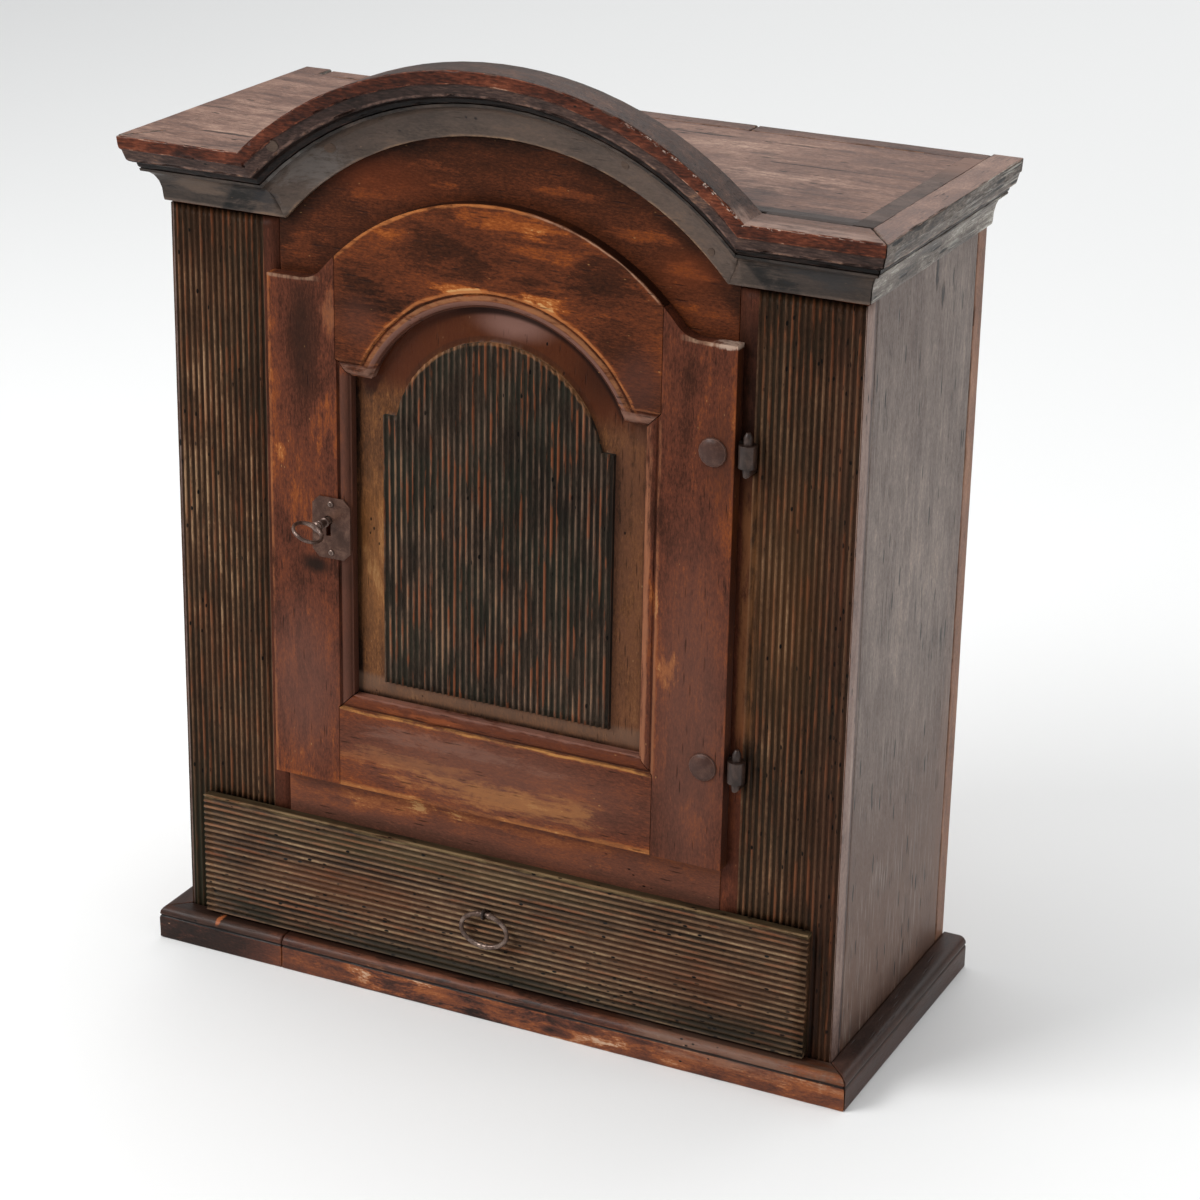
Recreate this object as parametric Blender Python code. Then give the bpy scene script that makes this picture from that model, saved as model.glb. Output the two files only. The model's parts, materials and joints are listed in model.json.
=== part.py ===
"""Small antique wall or table cupboard: reeded front frame, arched panelled door, one drawer.

Units are metres, +Z is up, +Y points to the back. The origin is on the floor, at the middle of the
carcass footprint.
"""
import math

import bmesh
import bpy
from mathutils import Matrix, Vector

# Fits
GAP = 0.0003             # glue line or seat between two pieces that touch
PLAY = 0.0015            # free space round a door tongue or a drawer in its opening

# Carcass
BODY_W = 0.561           # width over the two sides
BODY_D = 0.2404          # depth from the front frame to the back boards
SIDE_T = 0.020
FRAME_T = 0.018          # front stiles and rails
BACK_T = 0.0197
BACK_MIDDLE = 0.187      # middle one of the three back boards
BASE_T = 0.018           # bottom board
DECK_T = 0.018           # floor of the cupboard, over the drawer
TOP_T = 0.018
TOP_DROP = 0.001         # top board below the rim of the cornice
RIM_DROP = 0.004         # carcass edges below the rim of the cornice
RIM_FRONT = 0.007        # edge of the front frame that shows in front of the top board
RIM_SIDE = 0.013         # edge of a side that shows beside the top board
SHELF_T = 0.016
SHELF_RISE = 0.255       # shelf above the cupboard floor
SHELF_SETBACK = 0.045    # shelf edge behind the front frame
CLEAT_W = 0.016
CLEAT_H = 0.022
RUNNER_W = 0.020

# Plinth strips round the foot
PLINTH_H = 0.0274
PLINTH_OUT = 0.020       # how far it stands out from the carcass
PLINTH_GROOVE_Z = 0.0199
PLINTH_GROOVE = 0.0012   # depth and half height of the groove
PLINTH_JOINT_IN = 0.0955  # butt joint of the two front strips, from the left carcass corner

# Drawer
FACE_CLEAR = 0.0026      # plinth to drawer face
FACE_H = 0.102
FACE_OUT = 0.010         # drawer face in front of the frame
FOOT_SHOW = 0.0195       # stile that shows beside the drawer face
LIP = 0.0045             # overlap of the drawer face and of the door on the frame
DRAWER_FRONT_T = 0.017
DRAWER_SIDE_T = 0.012
DRAWER_BOTTOM_T = 0.006
DRAWER_BACK_LOW = 0.008  # drawer back below its sides
DRAWER_BEHIND = 0.006    # free depth behind the drawer
DRAWER_HEADROOM = 0.002  # drawer sides below the opening's top

# Drawer ring and its staple
RING_X = -0.0045
RING_DOWN = 0.043        # staple below the top of the drawer face
RING_HALF_W = 0.0198     # to the middle of the wire
RING_HALF_H = 0.0138
RING_WIRE_R = 0.0017
EYE_PLAY = 0.0006
EYE_WIRE_R = 0.0012
STAPLE_R = 0.0016

# Door
RAIL_SHOW = 0.038        # middle rail between drawer face and door
STILE_SHOW = 0.090       # front stile between carcass corner and door
DOOR_SIDE_H = 0.404      # straight sides of the door, up to its shoulders
DOOR_OUT = 0.012         # door in front of the frame
DOOR_T = 0.0212
ARCH_DROP = 0.114        # centre of all the arches below the door's shoulders
SHOULDER_W = 0.0283      # level shoulder of the door, to the start of the reverse curve
SHOULDER_FILLET = 0.024  # radius of the reverse curve
DOOR_STILE_W = 0.0695    # door stile, to the panel's sight edge
DOOR_RAIL_W = 0.077      # bottom rail, to the panel's sight edge
PANEL_SHOULDER_DROP = 0.070
PANEL_SHOULDER_W = 0.0172
MOULD_W = 0.012          # moulded inner edge of the door frame
MOULD_QUIRK = 0.0020     # depth of the sunk line outside the bead
MOULD_QUIRK_W = 0.0016
MOULD_CROWN = 0.0003     # door face down to the top of the bead
MOULD_FILLET = 0.0014    # flat inside the bead
MOULD_DEPTH = 0.0032     # door face down to that flat
MOULD_BITE = 0.001       # how far each board runs in under its own moulding
GROOVE_DEPTH = 0.0085
TONGUE_T = 0.006         # edge of the panel in the groove
PANEL_DOWN = 0.0106      # door face down to the panel's edge in its groove
FIELD_MARGIN = 0.026     # sight edge to the raised field, at the sides
FIELD_MARGIN_LOW = 0.015
FIELD_SHOULDER_DROP = 0.027
FIELD_SHOULDER_W = 0.0107
FIELD_EDGE = 0.0080      # door face down to the foot of the raised field
FIELD_DOWN = 0.0045      # door face down to the tops of the field's reeds

# Reeds
REED_PITCH = 0.0050
REED_DEPTH = 0.0018
REED_SIDES = 6           # flats from one reed's top to the next
REED_STRIP = 0.0095      # plain strip of the front stile beside the door

# Head of the cupboard
FRIEZE_H = 0.041         # door shoulder to the underside of the cornice
BAND_W = 0.047           # arched top rail that shows between door and cornice
CROWN_H = 0.0262         # upper members of the cornice
COVE_H = 0.0268          # cove under them
CORNICE_FRONT = 0.0345   # projections of the cornice
CORNICE_SIDE = 0.0245
STILE_SHORT = 0.002      # front stiles end this far below the cornice
ARCH_HIDE = 0.015        # arched top rail below the crown that covers it
ARC_STEPS = 28

# Hinges: rolled eyes on straps, over pintles driven into the stile
HINGE_OUT = 0.0085       # axis outside the door's edge
HINGE_FORWARD = 0.008    # axis in front of the frame
HINGE_LOW = 0.081        # lower eye above the door's foot
HINGE_HIGH = 0.080       # upper eye below the door's shoulder
PIN_R = 0.0035
PIN_TIP = 0.009          # pin above its eye
PIN_PLAY = 0.0003
STRAP_T = 0.003
STRAP_H = 0.017
STRAP_IN = 0.0305        # strap length inside the door
CURL = math.radians(285)
RIVET_IN = 0.0165        # rivet inside the door's edge
RIVET_R = 0.003
RIVET_HEAD_R = 0.0115
RIVET_HEAD_H = 0.0042
RIVET_CLENCH_R = 0.005
RIVET_CLENCH_H = 0.0015
SPIKE_IN = 0.014         # pintle inside the stile

# Lock and key
KEY_IN = 0.051           # key axis inside the door's free edge
KEY_UP = 0.218           # key axis above the door's foot
KEY_REST = math.radians(27)   # bit below level, unlocked
SHANK_R = 0.003
SHANK_PLAY = 0.0006
BIT_R = 0.008
BIT_T = 0.0025
BIT_W = 0.006
BOW_OUT = 0.0300         # middle of the bow in front of the plate
BOW_HALF_W = 0.0112      # to the middle of the wire
BOW_HALF_D = 0.0118
BOW_WIRE_R = 0.0015
COLLAR_R = 0.0042
COLLAR_W = 0.003
KEYHOLE_DROP = 0.0125
KEYHOLE_SLOT = 0.0038
PLATE_W = 0.033
PLATE_H = 0.049
PLATE_T = 0.0015
PLATE_CLIP = 0.006
PLATE_SHIFT = 0.0025     # plate sits this far beside the key axis
PLATE_DOWN = 0.006       # and its middle this far below it
NAIL_R = 0.001
NAIL_HEAD_R = 0.0026
NAIL_HEAD_H = 0.0012
NAIL_LENGTH = 0.009
NAIL_IN = 0.005          # nail from the plate's end
CASE_W = 0.068
CASE_H = 0.060
CASE_D = 0.018
CASE_WALL = 0.002
BOLT_H = 0.013
BOLT_T = 0.004
BOLT_PLAY = 0.0004
NOTCH_W = 0.007
KEEPER_W = 0.012
KEEPER_T = 0.002
KEEPER_FOOT = 0.007

# Levels, worked out upwards from the floor
FACE_Z0 = PLINTH_H + FACE_CLEAR
FACE_Z1 = FACE_Z0 + FACE_H
OPEN_Z0 = FACE_Z0 + LIP
OPEN_Z1 = FACE_Z1 - LIP
DECK_Z0 = OPEN_Z1 + PLAY
DECK_Z1 = DECK_Z0 + DECK_T
SHELF_Z0 = DECK_Z1 + SHELF_RISE
DOOR_Z0 = FACE_Z1 + RAIL_SHOW
SHOULDER_Z = DOOR_Z0 + DOOR_SIDE_H
ARCH_Z = SHOULDER_Z - ARCH_DROP
CORNICE_Z0 = SHOULDER_Z + FRIEZE_H
CORNICE_Z1 = CORNICE_Z0 + COVE_H + CROWN_H
STILE_Z1 = CORNICE_Z0 - STILE_SHORT
RIM_Z = CORNICE_Z1 - RIM_DROP
TOP_Z1 = CORNICE_Z1 - TOP_DROP
TOP_Z0 = TOP_Z1 - TOP_T

# Places across the width, from the middle
HALF_W = BODY_W / 2
INNER_HALF = HALF_W - SIDE_T
FACE_HALF = HALF_W - FOOT_SHOW
OPEN_HALF = FACE_HALF - LIP
DOOR_HALF = HALF_W - STILE_SHOW
DOORWAY_HALF = DOOR_HALF - LIP
SIGHT_HALF = DOOR_HALF - DOOR_STILE_W
SEAM = SIGHT_HALF + MOULD_W
REED_X0 = DOOR_HALF + REED_STRIP

# Places through the depth
FRONT = -BODY_D / 2
BACK = BODY_D / 2
FRAME_BACK = FRONT + FRAME_T
CHAMBER_Y0 = FRAME_BACK + GAP
CHAMBER_Y1 = BACK - BACK_T - GAP
DOOR_Y0 = FRONT - DOOR_OUT
DOOR_Y1 = DOOR_Y0 + DOOR_T
LIP_Y = FRONT - GAP
FACE_Y0 = FRONT - FACE_OUT

# Finishes: colour, roughness, metallic
RED_PAINT = ((0.115, 0.040, 0.022), 0.45, 0.0)
REED_PAINT = ((0.062, 0.050, 0.030), 0.50, 0.0)
COVE_PAINT = ((0.050, 0.048, 0.042), 0.50, 0.0)
SIDE_WOOD = ((0.130, 0.090, 0.070), 0.45, 0.0)
RAW_WOOD = ((0.260, 0.150, 0.080), 0.70, 0.0)
IRON = ((0.085, 0.065, 0.055), 0.45, 0.8)

WELD = 1e-6
ROUND = 16               # sides of a small turned piece
WIRE_SIDES = 8
SMOOTH_ANGLE = math.radians(40)


def loft(rings, closed=False):
    """Skin rings of equal count, cap the two ends unless the row is closed, and weld what coincides."""
    bm = bmesh.new()
    loops = [[bm.verts.new(point) for point in ring] for ring in rings]
    pairs = list(zip(loops, loops[1:]))
    if closed:
        pairs.append((loops[-1], loops[0]))
    for near, far in pairs:
        for i in range(len(near)):
            j = (i + 1) % len(near)
            bm.faces.new((near[i], near[j], far[j], far[i]))
    if not closed:
        bm.faces.new(loops[0])
        bm.faces.new(loops[-1])
    bmesh.ops.remove_doubles(bm, verts=bm.verts, dist=WELD)
    bmesh.ops.dissolve_degenerate(bm, dist=WELD, edges=bm.edges)
    bmesh.ops.recalc_face_normals(bm, faces=bm.faces)
    return bm


def box(x0, x1, y0, y1, z0, z1):
    """Solid block between two corners."""
    rings = [[(x0, y, z0), (x1, y, z0), (x1, y, z1), (x0, y, z1)] for y in (y0, y1)]
    return loft(rings)


def slab(outline, y0, y1):
    """Front outline of X and Z, cut from a board between two depths."""
    return loft([[(x, y, z) for x, z in outline] for y in (y0, y1)])


def length_of(outline, x0, x1):
    """End outline of Y and Z, run along X."""
    return loft([[(x, y, z) for y, z in outline] for x in (x0, x1)])


def upright(outline, z0, z1):
    """Plan outline of X and Y, run up along Z."""
    return loft([[(x, y, z) for x, y in outline] for z in (z0, z1)])


def circle(radius, sides=ROUND):
    """Points round the origin of a plane."""
    turns = [2 * math.pi * i / sides for i in range(sides)]
    return [(radius * math.cos(turn), radius * math.sin(turn)) for turn in turns]


def turned(profile, x, z):
    """Round piece on an axis along Y at x, z. The profile is pairs of depth and radius."""
    rings = [[(x + a, y, z + b) for a, b in circle(radius)] for y, radius in profile]
    return loft(rings)


def rod(x, z, radius, y0, y1):
    """Plain round bar along Y."""
    return turned([(y0, radius), (y1, radius)], x, z)


def wire_loop(centre, along, across, half_along, half_across, radius, steps=32):
    """Closed oval of round wire in the plane of two unit directions."""
    normal = along.cross(across)
    rings = []
    for i in range(steps):
        turn = 2 * math.pi * i / steps
        middle = centre + along * (half_along * math.cos(turn)) + across * (half_across * math.sin(turn))
        outward = along * (half_across * math.cos(turn)) + across * (half_along * math.sin(turn))
        outward.normalize()
        rings.append([middle + outward * a + normal * b for a, b in circle(radius, WIRE_SIDES)])
    return loft(rings, closed=True)


def join(*pieces):
    """Several meshes in one, for a cutter with separate bodies."""
    whole = bmesh.new()
    for piece in pieces:
        mesh = bpy.data.meshes.new("piece")
        piece.to_mesh(mesh)
        piece.free()
        whole.from_mesh(mesh)
        bpy.data.meshes.remove(mesh)
    return whole


def link(name, bm):
    """New object from a mesh drawn in place."""
    mesh = bpy.data.meshes.new(name)
    bm.to_mesh(mesh)
    bm.free()
    obj = bpy.data.objects.new(name, mesh)
    bpy.context.collection.objects.link(obj)
    return obj


def axis(name, place, parent=None):
    """Empty on a joint's axis, which carries the pieces that move there."""
    empty = bpy.data.objects.new(name, None)
    bpy.context.collection.objects.link(empty)
    empty.parent = parent
    empty.location = Vector(place)
    if parent:
        empty.location -= parent.matrix_world.translation
    bpy.context.view_layer.update()
    return empty


def part(name, bm, finish, carrier=None):
    """Named sub-part with its own material, on the carrier that moves it."""
    obj = link(name, bm)
    if carrier:
        obj.data.transform(Matrix.Translation(-carrier.matrix_world.translation))
        obj.parent = carrier
    colour, roughness, metallic = finish
    material = bpy.data.materials.new(name)
    material.use_nodes = True
    shader = material.node_tree.nodes["Principled BSDF"]
    shader.inputs["Base Color"].default_value = (*colour, 1.0)
    shader.inputs["Roughness"].default_value = roughness
    shader.inputs["Metallic"].default_value = metallic
    obj.data.materials.append(material)
    return obj


def smooth(obj):
    """Shade a round piece smooth, apart from its sharp edges."""
    obj.data.shade_smooth()
    obj.data.set_sharp_from_angle(angle=SMOOTH_ANGLE)


def helper(name, bm):
    """Cutter or insert that only serves a Boolean."""
    obj = link(name, bm)
    obj.hide_render = True
    obj.display_type = "WIRE"
    return obj


def boolean(obj, other, operation):
    """Join, cut or intersect one object with another."""
    modifier = obj.modifiers.new(operation.title(), "BOOLEAN")
    modifier.operation = operation
    modifier.solver = "EXACT"
    modifier.object = other


def arc(radius, start, stop, steps):
    """Points on a circle about the arches' centre. Angles run from straight up towards +X."""
    turns = [start + (stop - start) * i / steps for i in range(steps + 1)]
    return [(radius * math.sin(turn), ARCH_Z + radius * math.cos(turn)) for turn in turns]


def arch_radius(half, shoulder, step, fillet=0.0):
    """Radius about the arches' centre that reaches the shoulder a step in from the side."""
    return math.hypot(half - step, shoulder - ARCH_Z + fillet) - fillet


def reeds(start, stop, pitch):
    """Outline of a run of rounded reeds: pairs of place along the run and depth below their tops."""
    count = max(1, round((stop - start) / pitch))
    step = (stop - start) / count
    points = []
    for i in range(count * REED_SIDES + 1):
        turn = 2 * math.pi * (i % REED_SIDES) / REED_SIDES
        points.append((start + step * i / REED_SIDES, REED_DEPTH * (1 - math.cos(turn)) / 2))
    return points


DOOR_R = arch_radius(DOOR_HALF, SHOULDER_Z, SHOULDER_W, SHOULDER_FILLET)
CORNICE_R = DOOR_R + BAND_W + COVE_H + CROWN_H


def door_head(inset, start):
    """Right part of the door's top edge from an angle on its arch to its side, set in by an inset."""
    radius = DOOR_R - inset
    fillet = SHOULDER_FILLET + inset
    middle = Vector((DOOR_HALF - SHOULDER_W, SHOULDER_Z + SHOULDER_FILLET))
    end = math.atan2(middle.x, middle.y - ARCH_Z)
    points = arc(radius, start, end, ARC_STEPS // 4)
    for i in range(1, 7):
        turn = end * (1 - i / 6)
        points.append((middle.x - fillet * math.sin(turn), middle.y - fillet * math.cos(turn)))
    points.append((DOOR_HALF - inset, SHOULDER_Z - inset))
    return points


def mirrored(points):
    """The same run on the other side, in reverse order."""
    return [(-x, z) for x, z in reversed(points)]


def panel_outline(half, low, shoulder, step):
    """Round the panel's sight edge or field: foot, right side, shoulder, arch, left shoulder."""
    radius = arch_radius(half, shoulder, step)
    turn = math.atan2(half - step, shoulder - ARCH_Z)
    head = arc(radius, turn, -turn, ARC_STEPS)
    return [(-half, low), (half, low), (half, shoulder)] + head + [(-half, shoulder)]


def sight(outset):
    """Sight edge of the panel, moved out into the frame by an outset."""
    shoulder = SHOULDER_Z - PANEL_SHOULDER_DROP
    radius = arch_radius(SIGHT_HALF, shoulder, PANEL_SHOULDER_W) + outset
    reach = math.sqrt(radius ** 2 - (shoulder + outset - ARCH_Z) ** 2)
    half = SIGHT_HALF + outset
    return panel_outline(half, DOOR_Z0 + DOOR_RAIL_W - outset, shoulder + outset, half - reach)


# Carcass: boards nailed together, with the front frame on their edges

def carcass():
    """Sides, bottom, deck, back, top, shelf and drawer runners."""
    part("bottom_board", box(-HALF_W, HALF_W, FRONT, BACK, 0, BASE_T), RAW_WOOD)
    low = BASE_T + GAP
    for name, side in (("left", -1), ("right", 1)):
        outline = [(INNER_HALF, low), (HALF_W, low), (HALF_W, RIM_Z), (HALF_W - RIM_SIDE, RIM_Z),
                   (HALF_W - RIM_SIDE, TOP_Z0 - GAP), (INNER_HALF, TOP_Z0 - GAP)]
        outline = [(side * x, z) for x, z in outline]
        part("side_" + name, slab(outline, CHAMBER_Y0, CHAMBER_Y1), SIDE_WOOD)

        wall = INNER_HALF - GAP
        runner = [side * (wall - RUNNER_W), side * wall]
        runner_top = OPEN_Z0 + PLAY - GAP
        strip = box(min(runner), max(runner), CHAMBER_Y0, CHAMBER_Y1, low, runner_top)
        part("drawer_runner_" + name, strip, RAW_WOOD)

        cleat = [side * (wall - CLEAT_W), side * wall]
        cleat_y0 = FRAME_BACK + SHELF_SETBACK + CLEAT_W
        cleat_z1 = SHELF_Z0 - GAP
        part("shelf_cleat_" + name,
             box(min(cleat), max(cleat), cleat_y0, CHAMBER_Y1, cleat_z1 - CLEAT_H, cleat_z1), RAW_WOOD)

    inside = INNER_HALF - GAP
    part("deck_board", box(-inside, inside, CHAMBER_Y0, CHAMBER_Y1, DECK_Z0, DECK_Z1), RAW_WOOD)
    shelf_y0 = FRAME_BACK + SHELF_SETBACK
    part("shelf", box(-inside, inside, shelf_y0, CHAMBER_Y1, SHELF_Z0, SHELF_Z0 + SHELF_T), RAW_WOOD)
    top_half = HALF_W - RIM_SIDE - GAP
    top = box(-top_half, top_half, FRONT + RIM_FRONT + GAP, CHAMBER_Y1, TOP_Z0, TOP_Z1)
    part("top_board", top, SIDE_WOOD)

    edges = [-HALF_W, -BACK_MIDDLE / 2, BACK_MIDDLE / 2, HALF_W + GAP]
    for name, x0, x1 in zip(("left", "middle", "right"), edges, edges[1:]):
        part("back_board_" + name, box(x0, x1 - GAP, BACK - BACK_T, BACK, low, TOP_Z1), RAW_WOOD)


# Front frame: two reeded stiles, three rails, the upper one arched

def front_frame(pintle_holes):
    """Stiles with feet beside the drawer, and the rails between them."""
    low = BASE_T + GAP
    for name, side in (("left", -1), ("right", 1)):
        edge = DOORWAY_HALF + GAP
        outline = [(edge, FRAME_BACK), (edge, FRONT)]
        outline += [(x, FRONT + depth) for x, depth in reeds(REED_X0, HALF_W, REED_PITCH)]
        outline.append((HALF_W, FRAME_BACK))
        section = [(side * x, y) for x, y in outline]
        stile = part("front_stile_" + name, upright(section, low, STILE_Z1), REED_PAINT)
        notch = sorted((0.0, side * OPEN_HALF))
        notch_cut = box(*notch, FRONT - PLAY, FRAME_BACK + PLAY, 0, OPEN_Z1)
        boolean(stile, helper("notch_" + name, notch_cut), "DIFFERENCE")
        if side > 0:
            boolean(stile, pintle_holes, "DIFFERENCE")

    half = DOORWAY_HALF
    part("middle_rail", box(-half, half, FRONT, FRAME_BACK, OPEN_Z1, DOOR_Z0 + LIP), RED_PAINT)
    half = OPEN_HALF - GAP
    part("bottom_rail", box(-half, half, FRONT, FRAME_BACK, low, OPEN_Z0), RED_PAINT)

    crest_r = CORNICE_R - ARCH_HIDE
    turn = math.acos((RIM_Z - ARCH_Z) / crest_r)
    head = door_head(LIP, 0.0)
    foot = mirrored(head) + head[1:]
    rebate = HALF_W - RIM_SIDE
    wing = [(DOORWAY_HALF, STILE_Z1 + GAP), (HALF_W, STILE_Z1 + GAP), (HALF_W, RIM_Z), (rebate, RIM_Z)]
    crest = [(rebate, RIM_Z)] + arc(crest_r, turn, -turn, ARC_STEPS) + [(-rebate, RIM_Z)]
    seat = [(x, TOP_Z0 - GAP) for x, _ in crest]
    thin = foot + wing + crest + mirrored(wing)
    thick = foot + wing + seat + mirrored(wing)
    step = FRONT + RIM_FRONT
    levels = ((thin, FRONT), (thin, step), (thick, step), (thick, FRAME_BACK))
    part("arched_top_rail", loft([[(x, y, z) for x, z in outline] for outline, y in levels]), RED_PAINT)


# Cornice: crown members over a cove, arched over the door

def crown_profile():
    """Upper members: share of the projection, counted inwards, and drop below the rim."""
    return [(0.0, 0.0), (0.03, 0.0105), (0.09, 0.0115), (0.17, 0.0195), (0.20, 0.0203), (0.36, 0.0224),
            (0.40, CROWN_H), (1.0, CROWN_H), (1.0, 0.0)]


def cove_profile():
    """Fillet, hollow and lower edge under the crown."""
    top = CROWN_H + GAP
    fillet = CROWN_H + 0.0028
    foot = CROWN_H + COVE_H
    hollow = foot - 0.003
    points = [(0.42, top), (0.44, fillet)]
    for i in range(6):
        turn = math.pi / 2 * i / 5
        points.append((0.46 + 0.40 * math.sin(turn), fillet + (hollow - fillet) * (1 - math.cos(turn))))
    return points + [(0.88, foot), (1.0, foot), (1.0, top)]


def cornice_valley(share, drop):
    """Where the level cornice turns up into the arch, for one point of the profile."""
    radius = CORNICE_R - drop
    return math.acos((CORNICE_Z1 - ARCH_Z - drop) / radius)


def cornice_front(profile, stations):
    """Run a profile along the front. A station is end, valley or a share of the arch, with a side."""
    rings = []
    for kind, amount in stations:
        ring = []
        for share, drop in profile:
            y = FRONT - GAP - (CORNICE_FRONT - GAP) * (1 - share)
            turn = cornice_valley(share, drop)
            radius = CORNICE_R - drop
            if kind == "end":
                x = amount * (HALF_W + CORNICE_SIDE * (1 - share))
                z = CORNICE_Z1 - drop
            elif kind == "valley":
                x = radius * math.sin(turn) * math.copysign(1, amount) + amount * GAP
                z = CORNICE_Z1 - drop
            else:
                x = radius * math.sin(turn * amount)
                z = ARCH_Z + radius * math.cos(turn * amount)
            ring.append((x, y, z))
        rings.append(ring)
    return loft(rings)


def cornice():
    """Crown in one front piece and two returns; cove in three front pieces and two returns."""
    shares = [("arch", -1 + 2 * i / ARC_STEPS) for i in range(ARC_STEPS + 1)]
    ends = {"left": ("end", -1), "right": ("end", 1)}
    crown = crown_profile()
    cove = cove_profile()
    part("crown_front", cornice_front(crown, [ends["left"]] + shares + [ends["right"]]), RED_PAINT)
    part("cove_arch", cornice_front(cove, shares), COVE_PAINT)
    part("cove_front_left", cornice_front(cove, [ends["left"], ("valley", -2)]), COVE_PAINT)
    part("cove_front_right", cornice_front(cove, [("valley", 2), ends["right"]]), COVE_PAINT)
    for layer, profile in (("crown", crown), ("cove", cove)):
        for name, side in (("left", -1), ("right", 1)):
            rings = [[], []]
            for share, drop in profile:
                x = side * (HALF_W + GAP + (CORNICE_SIDE - GAP) * (1 - share))
                mitre = FRONT - CORNICE_FRONT * (1 - share) + 2 * GAP
                rings[0].append((x, mitre, CORNICE_Z1 - drop))
                rings[1].append((x, BACK, CORNICE_Z1 - drop))
            part(layer + "_" + name, loft(rings), SIDE_WOOD if layer == "crown" else COVE_PAINT)


# Plinth: grooved strips with a rounded upper edge, mitred at the front corners

def plinth_profile():
    """Pairs of projection and height, from the inner foot round the outside."""
    nose = PLINTH_H - PLINTH_GROOVE_Z - PLINTH_GROOVE
    points = [(GAP, 0.0), (PLINTH_OUT, 0.0), (PLINTH_OUT, PLINTH_GROOVE_Z - PLINTH_GROOVE),
              (PLINTH_OUT - PLINTH_GROOVE, PLINTH_GROOVE_Z)]
    for i in range(5):
        turn = math.pi / 2 * i / 4
        points.append((PLINTH_OUT - nose * (1 - math.cos(turn)), PLINTH_H - nose * (1 - math.sin(turn))))
    return points + [(GAP, PLINTH_H)]


def plinth():
    """Two front strips that butt, and a return on each side."""
    profile = plinth_profile()
    joint = -HALF_W + PLINTH_JOINT_IN
    left_end = [(-HALF_W - out, FRONT - out, z) for out, z in profile]
    right_end = [(HALF_W + out, FRONT - out, z) for out, z in profile]
    butt = [[(x, FRONT - out, z) for out, z in profile] for x in (joint, joint + GAP)]
    part("plinth_front_left", loft([left_end, butt[0]]), RED_PAINT)
    part("plinth_front_right", loft([butt[1], right_end]), RED_PAINT)
    for name, side in (("left", -1), ("right", 1)):
        rings = [[(side * (HALF_W + out), FRONT - out + 2 * GAP, z) for out, z in profile],
                 [(side * (HALF_W + out), BACK, z) for out, z in profile]]
        part("plinth_" + name, loft(rings), RED_PAINT)


# Door: mortised frame with a moulded and grooved inner edge round a fielded panel

def edge_section():
    """Moulding and groove of a frame piece: pairs of outset from the sight edge and depth."""
    root = MOULD_W - GAP
    outer_foot = MOULD_W - MOULD_BITE - MOULD_QUIRK_W
    middle = (outer_foot + MOULD_FILLET) / 2
    points = [(root, DOOR_Y0 + MOULD_QUIRK)]
    for i in range(9):
        turn = math.pi * i / 8
        foot = MOULD_QUIRK if i < 4 else MOULD_DEPTH
        depth = foot + (MOULD_CROWN - foot) * math.sin(turn)
        points.append((middle + (outer_foot - middle) * math.cos(turn), DOOR_Y0 + depth))
    groove = panel_depths()[0] - GAP
    points += [(0.0, DOOR_Y0 + MOULD_DEPTH), (0.0, groove), (GROOVE_DEPTH, groove),
               (GROOVE_DEPTH, groove + TONGUE_T + 2 * GAP),
               (0.0, groove + TONGUE_T + 2 * GAP), (0.0, DOOR_Y1 - MOULD_BITE), (root, DOOR_Y1 - MOULD_BITE)]
    return points


def panel_depths():
    """Front and back of the panel's edge in the groove."""
    front = DOOR_Y0 + PANEL_DOWN
    return front, front + TONGUE_T


def edge_run(first, last, shorten):
    """Moulding and groove along part of the sight edge, shortened at both ends along Z."""
    rings = []
    order = range(first, last + 1)
    for i in order:
        ring = []
        for outset, y in edge_section():
            outline = sight(outset)
            x, z = outline[i % len(outline)]
            if i == first:
                z += shorten
            if i == last:
                z -= shorten
            ring.append((x, y, z))
        rings.append(ring)
    return loft(rings)


def door_frame_piece(name, outline, run, carrier):
    """Board with a lip in front and a tongue behind, joined to its moulded edge."""
    levels = ((0.0, DOOR_Y0), (0.0, LIP_Y), (LIP + PLAY, LIP_Y), (LIP + PLAY, DOOR_Y1))
    rings = [[(x, y, z) for x, z in outline(inset)] for inset, y in levels]
    piece = part(name, loft(rings), RED_PAINT, carrier)
    boolean(piece, helper(name + "_edge", run), "UNION")
    return piece


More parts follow.
